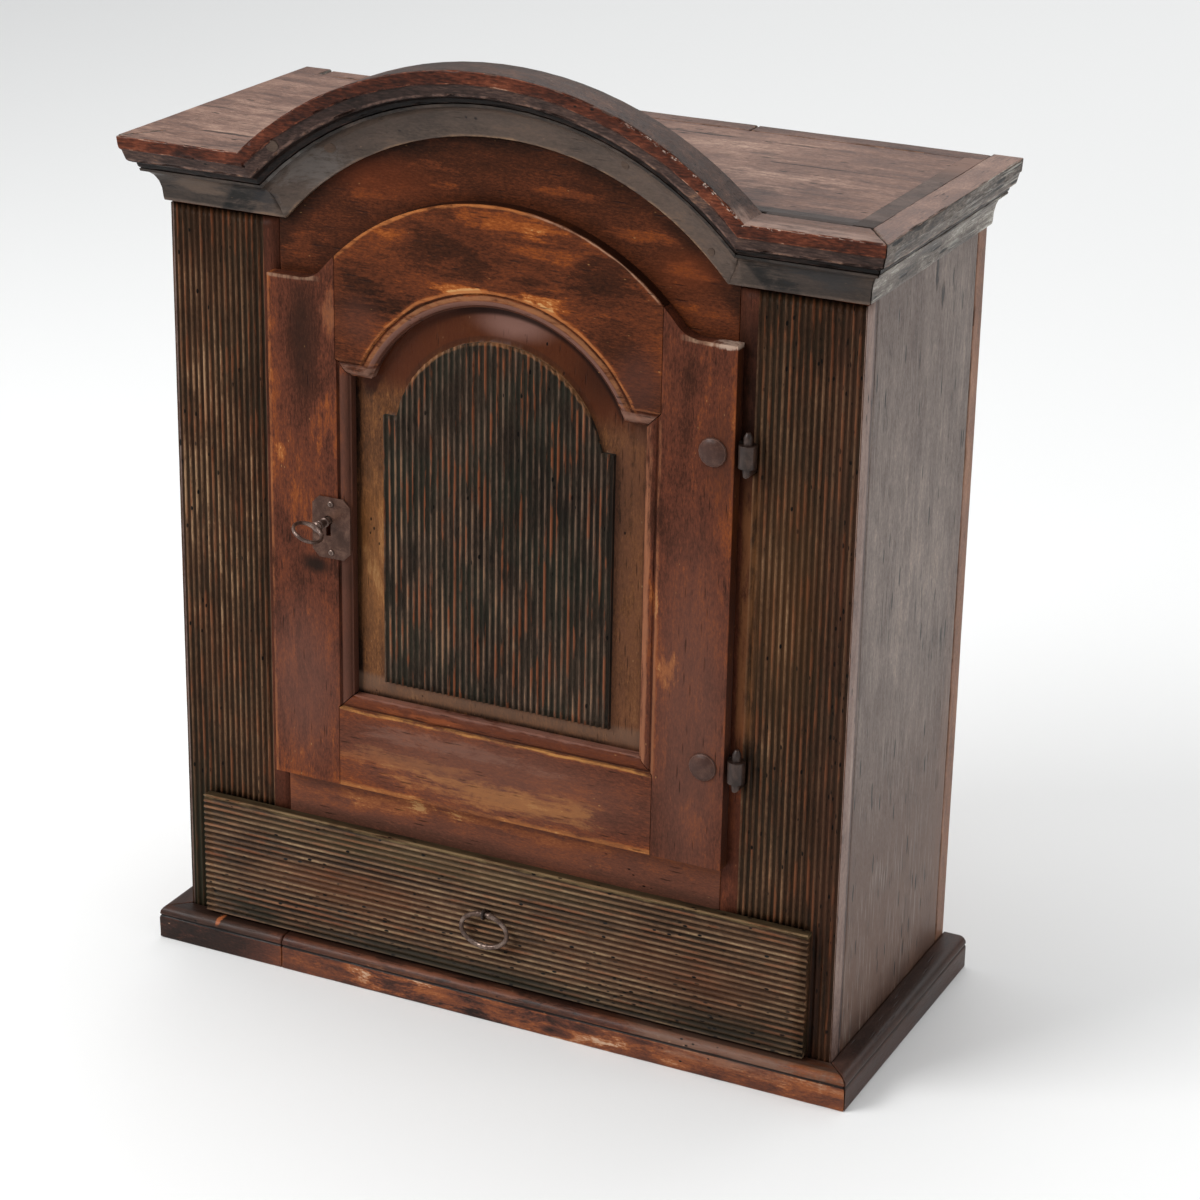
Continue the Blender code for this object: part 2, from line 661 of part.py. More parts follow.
def door(carrier, lock_holes, strap_slots, rivet_holes):
    """Two stiles, arched top rail, bottom rail and panel."""
    shorten = 2 * GAP
    inner = sight(MOULD_W - MOULD_BITE)
    outer = sight(MOULD_W + GAP / 2)
    last = len(outer) - 1

    for name, side in (("left", -1), ("right", 1)):
        def stile_outline(inset, outer=outer, side=side):
            x = SEAM + GAP / 2
            start = math.asin(x / (DOOR_R - inset))
            head = door_head(inset, start)
            sill = DOOR_Z0 + inset
            foot = [(DOOR_HALF - inset, sill), (x, sill), (x, outer[1][1] + shorten)]
            strip = [(inner[1][0], inner[1][1] + shorten + GAP), (inner[2][0], inner[2][1] - shorten - GAP)]
            return [(side * a, b) for a, b in head + foot + strip + [(x, outer[2][1] - shorten)]]
        run = edge_run(1, 2, shorten) if side > 0 else edge_run(last, last + 1, -shorten)
        stile = door_frame_piece("door_stile_" + name, stile_outline, run, carrier)
        cuts = (strap_slots, rivet_holes) if side > 0 else (lock_holes,)
        for cut in cuts:
            boolean(stile, cut, "DIFFERENCE")

    end = SEAM - GAP / 2
    outer = sight(MOULD_W - GAP / 2)

    def top_outline(inset):
        turn = math.asin(end / (DOOR_R - inset))
        corners = [(end, outer[2][1]), (inner[2][0] - GAP, inner[2][1])]
        return arc(DOOR_R - inset, -turn, turn, ARC_STEPS) + corners + inner[3:last] + mirrored(corners)

    door_frame_piece("door_top_rail", top_outline, edge_run(2, last, 0.0), carrier)

    def bottom_outline(inset):
        sill = DOOR_Z0 + inset
        corners = [(end, sill), (end, outer[1][1]), (inner[1][0] - GAP, inner[1][1])]
        return corners + mirrored(corners)

    door_frame_piece("door_bottom_rail", bottom_outline, edge_run(0, 1, 0.0), carrier)
    door_panel(carrier)


def door_panel(carrier):
    """Panel with a bevelled margin and a raised, reeded field."""
    front, back = panel_depths()
    shoulder = SHOULDER_Z - PANEL_SHOULDER_DROP - FIELD_SHOULDER_DROP
    field_half = SIGHT_HALF - FIELD_MARGIN
    field_z0 = DOOR_Z0 + DOOR_RAIL_W + FIELD_MARGIN_LOW
    field = panel_outline(field_half, field_z0, shoulder, FIELD_SHOULDER_W)
    foot = DOOR_Y0 + FIELD_EDGE
    edge = sight(GROOVE_DEPTH - PLAY / 2)
    levels = ((edge, back), (edge, front), (sight(-GAP), front), (field, foot))
    rings = [[(x, y, z) for x, z in outline] for outline, y in levels]
    panel = part("door_panel", loft(rings), REED_PAINT, carrier)

    face = DOOR_Y0 + FIELD_DOWN
    deep = foot + PLAY
    run = [(x, face + depth) for x, depth in reeds(-field_half, field_half, REED_PITCH)]
    plan = run + [(field_half, deep), (-field_half, deep)]
    crest = ARCH_Z + arch_radius(field_half, shoulder, FIELD_SHOULDER_W)
    reeded = helper("panel_reeds", upright(plan, field_z0, crest + PLAY))
    boolean(reeded, helper("panel_field", slab(field, face - PLAY, deep + PLAY)), "INTERSECT")
    boolean(panel, reeded, "UNION")


# Hinges

def hinges(carrier):
    """Strap with a rolled eye and a rivet on the door, pintle in the stile; returns the cutters."""
    hinge_x = DOOR_HALF + HINGE_OUT
    hinge_y = FRONT - HINGE_FORWARD
    inner = PIN_R + PIN_PLAY
    outer = inner + STRAP_T
    rivet_x = DOOR_HALF - RIVET_IN
    strap_x0 = DOOR_HALF - STRAP_IN
    heights = (("lower", DOOR_Z0 + HINGE_LOW), ("upper", SHOULDER_Z - HINGE_HIGH))

    turns = [math.pi / 2 - CURL * i / 14 for i in range(15)]
    eye_out = [(hinge_x + outer * math.cos(t), hinge_y + outer * math.sin(t)) for t in turns]
    eye_in = [(hinge_x + inner * math.cos(t), hinge_y + inner * math.sin(t)) for t in reversed(turns)]
    plan = [(strap_x0, hinge_y + outer)] + eye_out + eye_in + [(strap_x0, hinge_y + inner)]

    slot_y0 = hinge_y + inner - GAP
    slot_y1 = hinge_y + outer + GAP
    tongue_x = DOOR_HALF - LIP - PLAY
    slot = [(strap_x0 - GAP, slot_y0), (hinge_x, slot_y0), (hinge_x, FRONT + PLAY), (tongue_x, FRONT + PLAY),
            (tongue_x, slot_y1), (strap_x0 - GAP, slot_y1)]
    slots = []
    rivet_cuts = []
    spike_cuts = []
    for _, z in heights:
        slots.append(upright(slot, z - STRAP_H / 2 - GAP, z + STRAP_H / 2 + GAP))
        rivet_cuts.append(rod(rivet_x, z, RIVET_R + GAP, DOOR_Y0 - PLAY, DOOR_Y1 + PLAY))
        arm_z = z - STRAP_H / 2 - GAP - PIN_R
        spike_cuts.append(rod(hinge_x, arm_z, PIN_R + GAP, FRONT - PLAY, FRONT + SPIKE_IN + GAP))
    strap_slots = helper("strap_slots", join(*slots))
    rivet_holes = helper("rivet_holes", join(*rivet_cuts))
    pintle_holes = helper("pintle_holes", join(*spike_cuts))

    turns = [i * math.pi / 8 for i in range(5)]
    head = [(RIVET_HEAD_H * (1 - math.cos(a)), RIVET_HEAD_R * math.sin(a)) for a in turns]
    profile = [(DOOR_Y0 - GAP - RIVET_HEAD_H + y, radius) for y, radius in head]
    profile += [(DOOR_Y0 - GAP, RIVET_R), (DOOR_Y1 + GAP, RIVET_R), (DOOR_Y1 + GAP, RIVET_CLENCH_R),
                (DOOR_Y1 + GAP + RIVET_CLENCH_H, RIVET_CLENCH_R)]
    for name, z in heights:
        strap = part("hinge_strap_" + name, upright(plan, z - STRAP_H / 2, z + STRAP_H / 2), IRON, carrier)
        boolean(strap, rivet_holes, "DIFFERENCE")
        smooth(strap)
        smooth(part("hinge_rivet_" + name, turned(profile, rivet_x, z), IRON, carrier))

        arm_z = z - STRAP_H / 2 - GAP - PIN_R
        pin_z1 = z + STRAP_H / 2 + PIN_TIP
        ends = circle(PIN_R)
        rings = [[(hinge_x + a / 2, FRONT + SPIKE_IN, arm_z + b / 2) for a, b in ends],
                 [(hinge_x + a, FRONT + SPIKE_IN / 2, arm_z + b) for a, b in ends],
                 [(hinge_x + a, hinge_y + b, arm_z + b) for a, b in ends],
                 [(hinge_x + a, hinge_y + b, pin_z1 - PIN_R) for a, b in ends],
                 [(hinge_x + a / 2, hinge_y + b / 2, pin_z1) for a, b in ends]]
        smooth(part("pintle_" + name, loft(rings), IRON))
    return strap_slots, rivet_holes, pintle_holes


# Lock

KEY_X = -DOOR_HALF + KEY_IN
KEY_Z = DOOR_Z0 + KEY_UP
PLATE_Y = DOOR_Y0 - GAP
PLATE_X = KEY_X + PLATE_SHIFT
PLATE_Z = KEY_Z - PLATE_DOWN
CASE_Y0 = DOOR_Y1 + GAP
BOLT_Y0 = FRAME_BACK + 2 * GAP
BIT_DEPTH = BIT_R * math.sin(KEY_REST)
BOLT_Z1 = KEY_Z - BIT_DEPTH - GAP
THROW = 2 * BIT_R * math.cos(KEY_REST)


def plate_nails():
    """Heights of the two nails of the plate."""
    reach = PLATE_H / 2 - NAIL_IN
    return (("lower", PLATE_Z - reach), ("upper", PLATE_Z + reach))


def lock_cutter():
    """Keyhole and nail holes, through the plate and the stile."""
    y0 = PLATE_Y - PLATE_T - PLAY
    radius = SHANK_R + SHANK_PLAY
    lean = math.asin(KEYHOLE_SLOT / 2 / radius)
    steps = 12
    hole = []
    for i in range(steps + 1):
        turn = lean + (2 * math.pi - 2 * lean) * i / steps
        hole.append((KEY_X - radius * math.sin(turn), KEY_Z - radius * math.cos(turn)))
    foot = KEY_Z - KEYHOLE_DROP
    hole += [(KEY_X + KEYHOLE_SLOT / 2, foot), (KEY_X - KEYHOLE_SLOT / 2, foot)]
    bodies = [slab(hole, y0, DOOR_Y1 + PLAY)]
    for _, z in plate_nails():
        bodies.append(rod(PLATE_X, z, NAIL_R + GAP, y0, PLATE_Y + NAIL_LENGTH + GAP))
    return helper("lock_holes", join(*bodies))


def lock(door_axis, key_axis, bolt_axis, lock_holes):
    """Plate and nails in front, case and bolt behind the stile, keeper on the frame."""
    half_w, half_h, clip = PLATE_W / 2, PLATE_H / 2, PLATE_CLIP
    corners = [(half_w, half_h - clip), (half_w - clip, half_h)]
    right = [(a, -b) for a, b in reversed(corners)] + corners
    outline = right + [(-a, -b) for a, b in right]
    outline = [(PLATE_X + a, PLATE_Z + b) for a, b in outline]
    plate = part("escutcheon", slab(outline, PLATE_Y - PLATE_T, PLATE_Y), IRON, door_axis)
    boolean(plate, lock_holes, "DIFFERENCE")
    seat = PLATE_Y - PLATE_T - GAP
    nail = [(seat - NAIL_HEAD_H, 0.0), (seat - NAIL_HEAD_H * 0.7, NAIL_HEAD_R * 0.7), (seat, NAIL_HEAD_R),
            (seat, NAIL_R), (PLATE_Y + NAIL_LENGTH, NAIL_R)]
    for name, z in plate_nails():
        smooth(part("escutcheon_nail_" + name, turned(nail, PLATE_X, z), IRON, door_axis))

    bolt_z0 = BOLT_Z1 - BOLT_H
    bolt_y1 = BOLT_Y0 + BOLT_T
    case_x0 = -DOORWAY_HALF + 4 * PLAY
    case_x1 = case_x0 + CASE_W
    case_z0 = (bolt_z0 + KEY_Z + BIT_R) / 2 - CASE_H / 2
    case_z1 = case_z0 + CASE_H
    case_y1 = CASE_Y0 + CASE_D
    wall = CASE_WALL
    case = part("lock_case", box(case_x0, case_x1, CASE_Y0, case_y1, case_z0, case_z1), IRON, door_axis)
    hollow = box(case_x0 + wall, case_x1 - wall, CASE_Y0 - wall, case_y1 - wall,
                 case_z0 + wall, case_z1 - wall)
    boolean(case, helper("case_hollow", hollow), "DIFFERENCE")
    mouth = box(case_x0 - wall, case_x0 + 2 * wall, BOLT_Y0 - BOLT_PLAY, bolt_y1 + BOLT_PLAY,
                bolt_z0 - BOLT_PLAY, BOLT_Z1 + BOLT_PLAY)
    boolean(case, helper("case_mouth", mouth), "DIFFERENCE")

    notch_x = KEY_X + BIT_R * math.cos(KEY_REST)
    notch_z = KEY_Z - BIT_R - 2 * GAP
    bolt_x0 = case_x0 + GAP
    bolt_x1 = case_x1 - wall - GAP
    bolt = [(bolt_x0, bolt_z0), (bolt_x1, bolt_z0), (bolt_x1, BOLT_Z1), (notch_x + NOTCH_W / 2, BOLT_Z1),
            (notch_x + NOTCH_W / 2, notch_z), (notch_x - NOTCH_W / 2, notch_z),
            (notch_x - NOTCH_W / 2, BOLT_Z1), (bolt_x0, BOLT_Z1)]
    part("lock_bolt", slab(bolt, BOLT_Y0, bolt_y1), IRON, bolt_axis)

    base = FRAME_BACK + GAP
    top = bolt_y1 + BOLT_PLAY
    low = bolt_z0 - BOLT_PLAY
    high = BOLT_Z1 + BOLT_PLAY
    t = KEEPER_T
    keeper = [(base, low - t - KEEPER_FOOT), (base, low), (top, low), (top, high), (base, high),
              (base, high + t + KEEPER_FOOT), (base + t, high + t + KEEPER_FOOT), (base + t, high + t),
              (top + t, high + t), (top + t, low - t), (base + t, low - t), (base + t, low - t - KEEPER_FOOT)]
    keeper_x1 = -DOORWAY_HALF - PLAY
    part("bolt_keeper", length_of(keeper, keeper_x1 - KEEPER_W, keeper_x1), IRON)
    key(key_axis)


def key(carrier):
    """Shank with a collar, ring bow in front and a flat bit behind."""
    bit_y0 = BOLT_Y0 + BOLT_T / 2 - BIT_W / 2
    bow_y = PLATE_Y - PLATE_T - BOW_OUT
    shank_y0 = bow_y + BOW_HALF_D
    collar_y0 = shank_y0 + 2 * COLLAR_W
    profile = [(shank_y0, SHANK_R), (collar_y0, SHANK_R), (collar_y0, COLLAR_R),
               (collar_y0 + COLLAR_W, COLLAR_R), (collar_y0 + COLLAR_W, SHANK_R),
               (bit_y0 + BIT_W + GAP, SHANK_R)]
    shank = part("key", turned(profile, KEY_X, KEY_Z), IRON, carrier)
    level = Vector((math.cos(KEY_REST), 0, -math.sin(KEY_REST)))
    depth = Vector((0, 1, 0))
    thick = level.cross(depth)
    bow = wire_loop(Vector((KEY_X, bow_y, KEY_Z)), level, depth, BOW_HALF_W, BOW_HALF_D, BOW_WIRE_R)
    boolean(shank, helper("key_bow", bow), "UNION")
    rings = []
    for y in (bit_y0, bit_y0 + BIT_W):
        middle = Vector((KEY_X, y, KEY_Z))
        half = thick * (BIT_T / 2)
        tip = middle + level * BIT_R
        rings.append([middle - half, tip - half, tip + half, middle + half])
    boolean(shank, helper("key_bit", loft(rings)), "UNION")
    smooth(shank)


# Drawer

RING_Z = FACE_Z1 - RING_DOWN
EYE_R = RING_WIRE_R + EYE_PLAY + EYE_WIRE_R
RING_Y = FACE_Y0 - EYE_R - EYE_WIRE_R - GAP


def drawer(carrier, ring_axis):
    """Reeded face on a nailed box, with an oval ring on a staple."""
    outline = [(FACE_Y0 + depth, z) for z, depth in reeds(FACE_Z0, FACE_Z1, REED_PITCH)]
    outline += [(LIP_Y, FACE_Z1), (LIP_Y, FACE_Z0)]
    face = part("drawer_face", length_of(outline, -FACE_HALF, FACE_HALF), REED_PAINT, carrier)

    half = OPEN_HALF - PLAY
    low = OPEN_Z0 + PLAY
    high = OPEN_Z1 - PLAY
    front_y1 = FRONT + DRAWER_FRONT_T
    front = part("drawer_front", box(-half, half, FRONT, front_y1, low, high), RAW_WOOD, carrier)
    box_y0 = front_y1 + GAP
    box_y1 = CHAMBER_Y1 - DRAWER_BEHIND
    part("drawer_bottom", box(-half, half, box_y0, box_y1, low, low + DRAWER_BOTTOM_T), RAW_WOOD, carrier)
    wall_z0 = low + DRAWER_BOTTOM_T + GAP
    wall_z1 = OPEN_Z1 - DRAWER_HEADROOM
    inside = half - DRAWER_SIDE_T
    part("drawer_side_left", box(-half, -inside, box_y0, box_y1, wall_z0, wall_z1), RAW_WOOD, carrier)
    part("drawer_side_right", box(inside, half, box_y0, box_y1, wall_z0, wall_z1), RAW_WOOD, carrier)
    back = inside - GAP
    part("drawer_back", box(-back, back, box_y1 - DRAWER_SIDE_T, box_y1, wall_z0, wall_z1 - DRAWER_BACK_LOW),
         RAW_WOOD, carrier)

    hole = helper("staple_hole", rod(RING_X, RING_Z, STAPLE_R + GAP, FACE_Y0 - PLAY, front_y1 + PLAY))
    boolean(face, hole, "DIFFERENCE")
    boolean(front, hole, "DIFFERENCE")
    across = Vector((1, 0, 0))
    back_way = Vector((0, 1, 0))
    up = Vector((0, 0, 1))
    staple = part("ring_staple", rod(RING_X, RING_Z, STAPLE_R, RING_Y + EYE_R, front_y1), IRON, carrier)
    eye = wire_loop(Vector((RING_X, RING_Y, RING_Z)), back_way, up, EYE_R, EYE_R, EYE_WIRE_R, steps=20)
    boolean(staple, helper("staple_eye", eye), "UNION")
    smooth(staple)
    middle = Vector((RING_X, RING_Y, RING_Z - RING_HALF_H))
    ring = wire_loop(middle, across, up, RING_HALF_W, RING_HALF_H, RING_WIRE_R)
    smooth(part("drawer_ring", ring, IRON, ring_axis))


for old in list(bpy.data.objects):
    bpy.data.objects.remove(old)

door_axis = axis("door_axis", (DOOR_HALF + HINGE_OUT, FRONT - HINGE_FORWARD, 0))
key_axis = axis("key_axis", (KEY_X, PLATE_Y, KEY_Z), door_axis)
bolt_axis = axis("bolt_axis", (KEY_X, BOLT_Y0, BOLT_Z1), door_axis)
drawer_axis = axis("drawer_axis", (0, FACE_Y0, FACE_Z0))
ring_axis = axis("ring_axis", (RING_X, RING_Y, RING_Z), drawer_axis)

carcass()
slots, rivets, spikes = hinges(door_axis)
front_frame(spikes)
cornice()
plinth()
key_hole = lock_cutter()
door(door_axis, key_hole, slots, rivets)
lock(door_axis, key_axis, bolt_axis, key_hole)
drawer(drawer_axis, ring_axis)
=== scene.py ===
"""Small antique cupboard with an arched cornice, a panelled door and a drawer, dressed for its picture."""

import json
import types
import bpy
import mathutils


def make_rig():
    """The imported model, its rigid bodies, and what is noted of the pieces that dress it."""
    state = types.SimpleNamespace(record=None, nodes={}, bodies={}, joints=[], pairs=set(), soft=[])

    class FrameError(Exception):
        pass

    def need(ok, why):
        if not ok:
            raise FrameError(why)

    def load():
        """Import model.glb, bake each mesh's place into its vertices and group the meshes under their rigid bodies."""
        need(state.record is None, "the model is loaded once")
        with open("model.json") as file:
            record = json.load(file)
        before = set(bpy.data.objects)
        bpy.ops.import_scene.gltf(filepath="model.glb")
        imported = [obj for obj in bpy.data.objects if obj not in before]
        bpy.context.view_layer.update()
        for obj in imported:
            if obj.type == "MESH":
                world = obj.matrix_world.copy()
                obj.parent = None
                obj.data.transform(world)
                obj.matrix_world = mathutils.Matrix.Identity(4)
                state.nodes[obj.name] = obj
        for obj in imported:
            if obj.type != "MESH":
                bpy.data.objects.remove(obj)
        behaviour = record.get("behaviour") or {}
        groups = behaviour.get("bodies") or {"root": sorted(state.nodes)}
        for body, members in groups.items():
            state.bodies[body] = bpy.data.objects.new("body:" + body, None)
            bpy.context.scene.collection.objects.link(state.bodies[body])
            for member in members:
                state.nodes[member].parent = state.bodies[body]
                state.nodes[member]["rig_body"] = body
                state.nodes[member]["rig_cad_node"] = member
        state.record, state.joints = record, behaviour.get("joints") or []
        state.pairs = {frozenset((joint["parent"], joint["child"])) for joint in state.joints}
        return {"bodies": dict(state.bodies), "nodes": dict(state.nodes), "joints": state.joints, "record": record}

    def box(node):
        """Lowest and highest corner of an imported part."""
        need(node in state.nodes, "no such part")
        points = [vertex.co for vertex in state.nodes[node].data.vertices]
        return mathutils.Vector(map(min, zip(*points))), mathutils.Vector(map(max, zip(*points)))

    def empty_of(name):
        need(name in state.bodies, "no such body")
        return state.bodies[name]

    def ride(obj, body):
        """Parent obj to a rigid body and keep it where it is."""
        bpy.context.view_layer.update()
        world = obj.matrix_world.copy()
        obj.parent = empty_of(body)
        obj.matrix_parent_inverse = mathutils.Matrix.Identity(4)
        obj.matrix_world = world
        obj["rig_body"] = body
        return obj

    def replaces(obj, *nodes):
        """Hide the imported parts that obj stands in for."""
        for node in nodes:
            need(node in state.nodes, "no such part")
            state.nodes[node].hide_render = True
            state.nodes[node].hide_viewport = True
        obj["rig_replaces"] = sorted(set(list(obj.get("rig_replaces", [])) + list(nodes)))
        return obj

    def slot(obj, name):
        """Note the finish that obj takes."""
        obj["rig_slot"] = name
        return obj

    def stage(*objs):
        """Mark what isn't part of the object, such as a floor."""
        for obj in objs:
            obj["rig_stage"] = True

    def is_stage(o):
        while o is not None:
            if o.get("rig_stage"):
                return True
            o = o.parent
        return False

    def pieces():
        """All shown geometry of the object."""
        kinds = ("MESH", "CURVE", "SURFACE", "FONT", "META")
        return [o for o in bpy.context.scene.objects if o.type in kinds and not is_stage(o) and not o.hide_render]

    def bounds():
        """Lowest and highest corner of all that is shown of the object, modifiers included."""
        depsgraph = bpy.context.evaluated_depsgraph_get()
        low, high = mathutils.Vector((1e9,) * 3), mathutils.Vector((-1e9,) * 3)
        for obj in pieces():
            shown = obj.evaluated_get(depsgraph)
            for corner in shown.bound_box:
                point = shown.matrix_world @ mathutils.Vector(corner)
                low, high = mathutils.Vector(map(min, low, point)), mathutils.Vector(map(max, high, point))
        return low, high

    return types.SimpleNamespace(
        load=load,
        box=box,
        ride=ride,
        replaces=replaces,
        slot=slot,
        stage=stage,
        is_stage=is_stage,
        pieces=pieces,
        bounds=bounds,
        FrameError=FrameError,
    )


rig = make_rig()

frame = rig.load()
import json
import math

import bmesh
import bpy
from mathutils import Matrix, Vector, noise

cad_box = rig.bounds()


# Sides of the carcass: two old planed boards, standing grain, once stained brown and rubbed with wax; their grey
# is painted sheen. Their arrises are rounded by wear, and the faces keep the waves of a hand plane.
ARCH_Z = 0.460           # centre of the arches in the head, the door and the panel


def weather(bm, name, low, high, rounding, cell, sag, chips=0.0, marks=(), spare=None):
    """Round the arrises, cut the faces into cells, then let them sink and chip as on an old board."""
    flat, sharp_from, mitre_shut = math.radians(2), math.radians(28), 0.0003
    bmesh.ops.dissolve_limit(bm, angle_limit=flat, verts=bm.verts, edges=bm.edges)
    arris = bm.verts.layers.float.new("arris")
    if rounding:
        sharp = [e for e in bm.edges if e.is_manifold and e.is_convex and e.calc_face_angle() > sharp_from]
        if spare:
            sharp = [e for e in sharp if not spare((e.verts[0].co + e.verts[1].co) / 2)]
            cut = [(f.normal.copy(), f.verts, f.calc_center_median()) for f in bm.faces]
            ends = {v: normal for normal, verts, middle in cut for v in verts
                    if spare(middle) and normal.x * middle.x * normal.z < -0.02}
            for v, normal in ends.items():
                v.co += normal * mitre_shut
        made = bmesh.ops.bevel(bm, geom=sharp, offset=rounding, offset_type="OFFSET", segments=2, profile=0.5,
                               affect="EDGES", clamp_overlap=True, material=-1)
        rounded = set(made["faces"])
        for v in bm.verts:
            v[arris] = float(all(f in rounded for f in v.link_faces))
    for axis in range(3):
        length = high[axis] - low[axis]
        count = int(length / cell)
        levels = [low[axis] + length * i / (count + 1) for i in range(1, count + 1)]
        if rounding and length > 0.012:
            levels += [low[axis] + 2.5 * rounding, high[axis] - 2.5 * rounding]
        direction = Vector([float(axis == i) for i in range(3)])
        for level in levels:
            everything = bm.verts[:] + bm.edges[:] + bm.faces[:]
            bmesh.ops.bisect_plane(bm, geom=everything, dist=1e-6, plane_co=direction * level,
                                   plane_no=direction)
    for mark, rule in marks:
        layer = bm.verts.layers.float.new(mark)
        for v in bm.verts:
            v[layer] = rule(v.co)
    arris = bm.verts.layers.float["arris"]
    bm.normal_update()
    shift = Vector((len(name) * 1.37, sum(map(ord, name)) * 0.113, 0.0))
    for v in bm.verts:
        wave = 0.5 + 0.5 * noise.noise(v.co * 16 + shift)
        ripple = 0.5 + 0.5 * noise.noise(v.co * 110 + shift)
        v.co -= v.normal * sag * (0.7 * wave + 0.3 * ripple)
        if chips and v[arris] > 0.4:
            loss = max(0.0, noise.noise(v.co * 60 - shift) + 0.7 * noise.noise(v.co * 190 + shift) - 0.05)
            v.co -= v.normal * chips * loss * 2


def aged_copy(node, rounding, cell, sag, chips=0.0, marks=(), spare=None):
    """The node's own solid, weathered, in its place."""
    solid = frame["nodes"][node]
    bm = bmesh.new()
    bm.from_mesh(solid.data)
    bmesh.ops.remove_doubles(bm, verts=bm.verts, dist=1e-5)
    weather(bm, node, *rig.box(node), rounding, cell, sag, chips, marks, spare)
    return settle(node + "_aged", bm, solid["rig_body"], node)


def settle(name, bm, body, node=None):
    """Make a finished mesh a piece that rides on its body, in place of a node where one is named."""
    mesh = bpy.data.meshes.new(name)
    bm.to_mesh(mesh)
    bm.free()
    mesh.shade_smooth()
    mesh.set_sharp_from_angle(angle=math.radians(52))
    piece = bpy.data.objects.new(name, mesh)
    bpy.context.collection.objects.link(piece)
    even = piece.modifiers.new("Even shading", "WEIGHTED_NORMAL")
    even.weight = 60
    even.keep_sharp = True
    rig.ride(piece, body)
    if node:
        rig.replaces(piece, node)
    return piece


def dress(piece, slot, finishes, rule=None):
    """Give a piece its finishes; the rule picks one for a face by its middle and its normal."""
    for finish in finishes:
        piece.data.materials.append(finish)
    if rule:
        for face in piece.data.polygons:
            face.material_index = rule(face.center, face.normal)
    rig.slot(piece, slot)


def tone(red, green, blue):
    """Linear colour of a shade given in steps of 255."""
    linear = (((c / 255 + 0.055) / 1.055) ** 2.4 if c > 10 else c / 255 / 12.92 for c in (red, green, blue))
    return (*linear, 1.0)


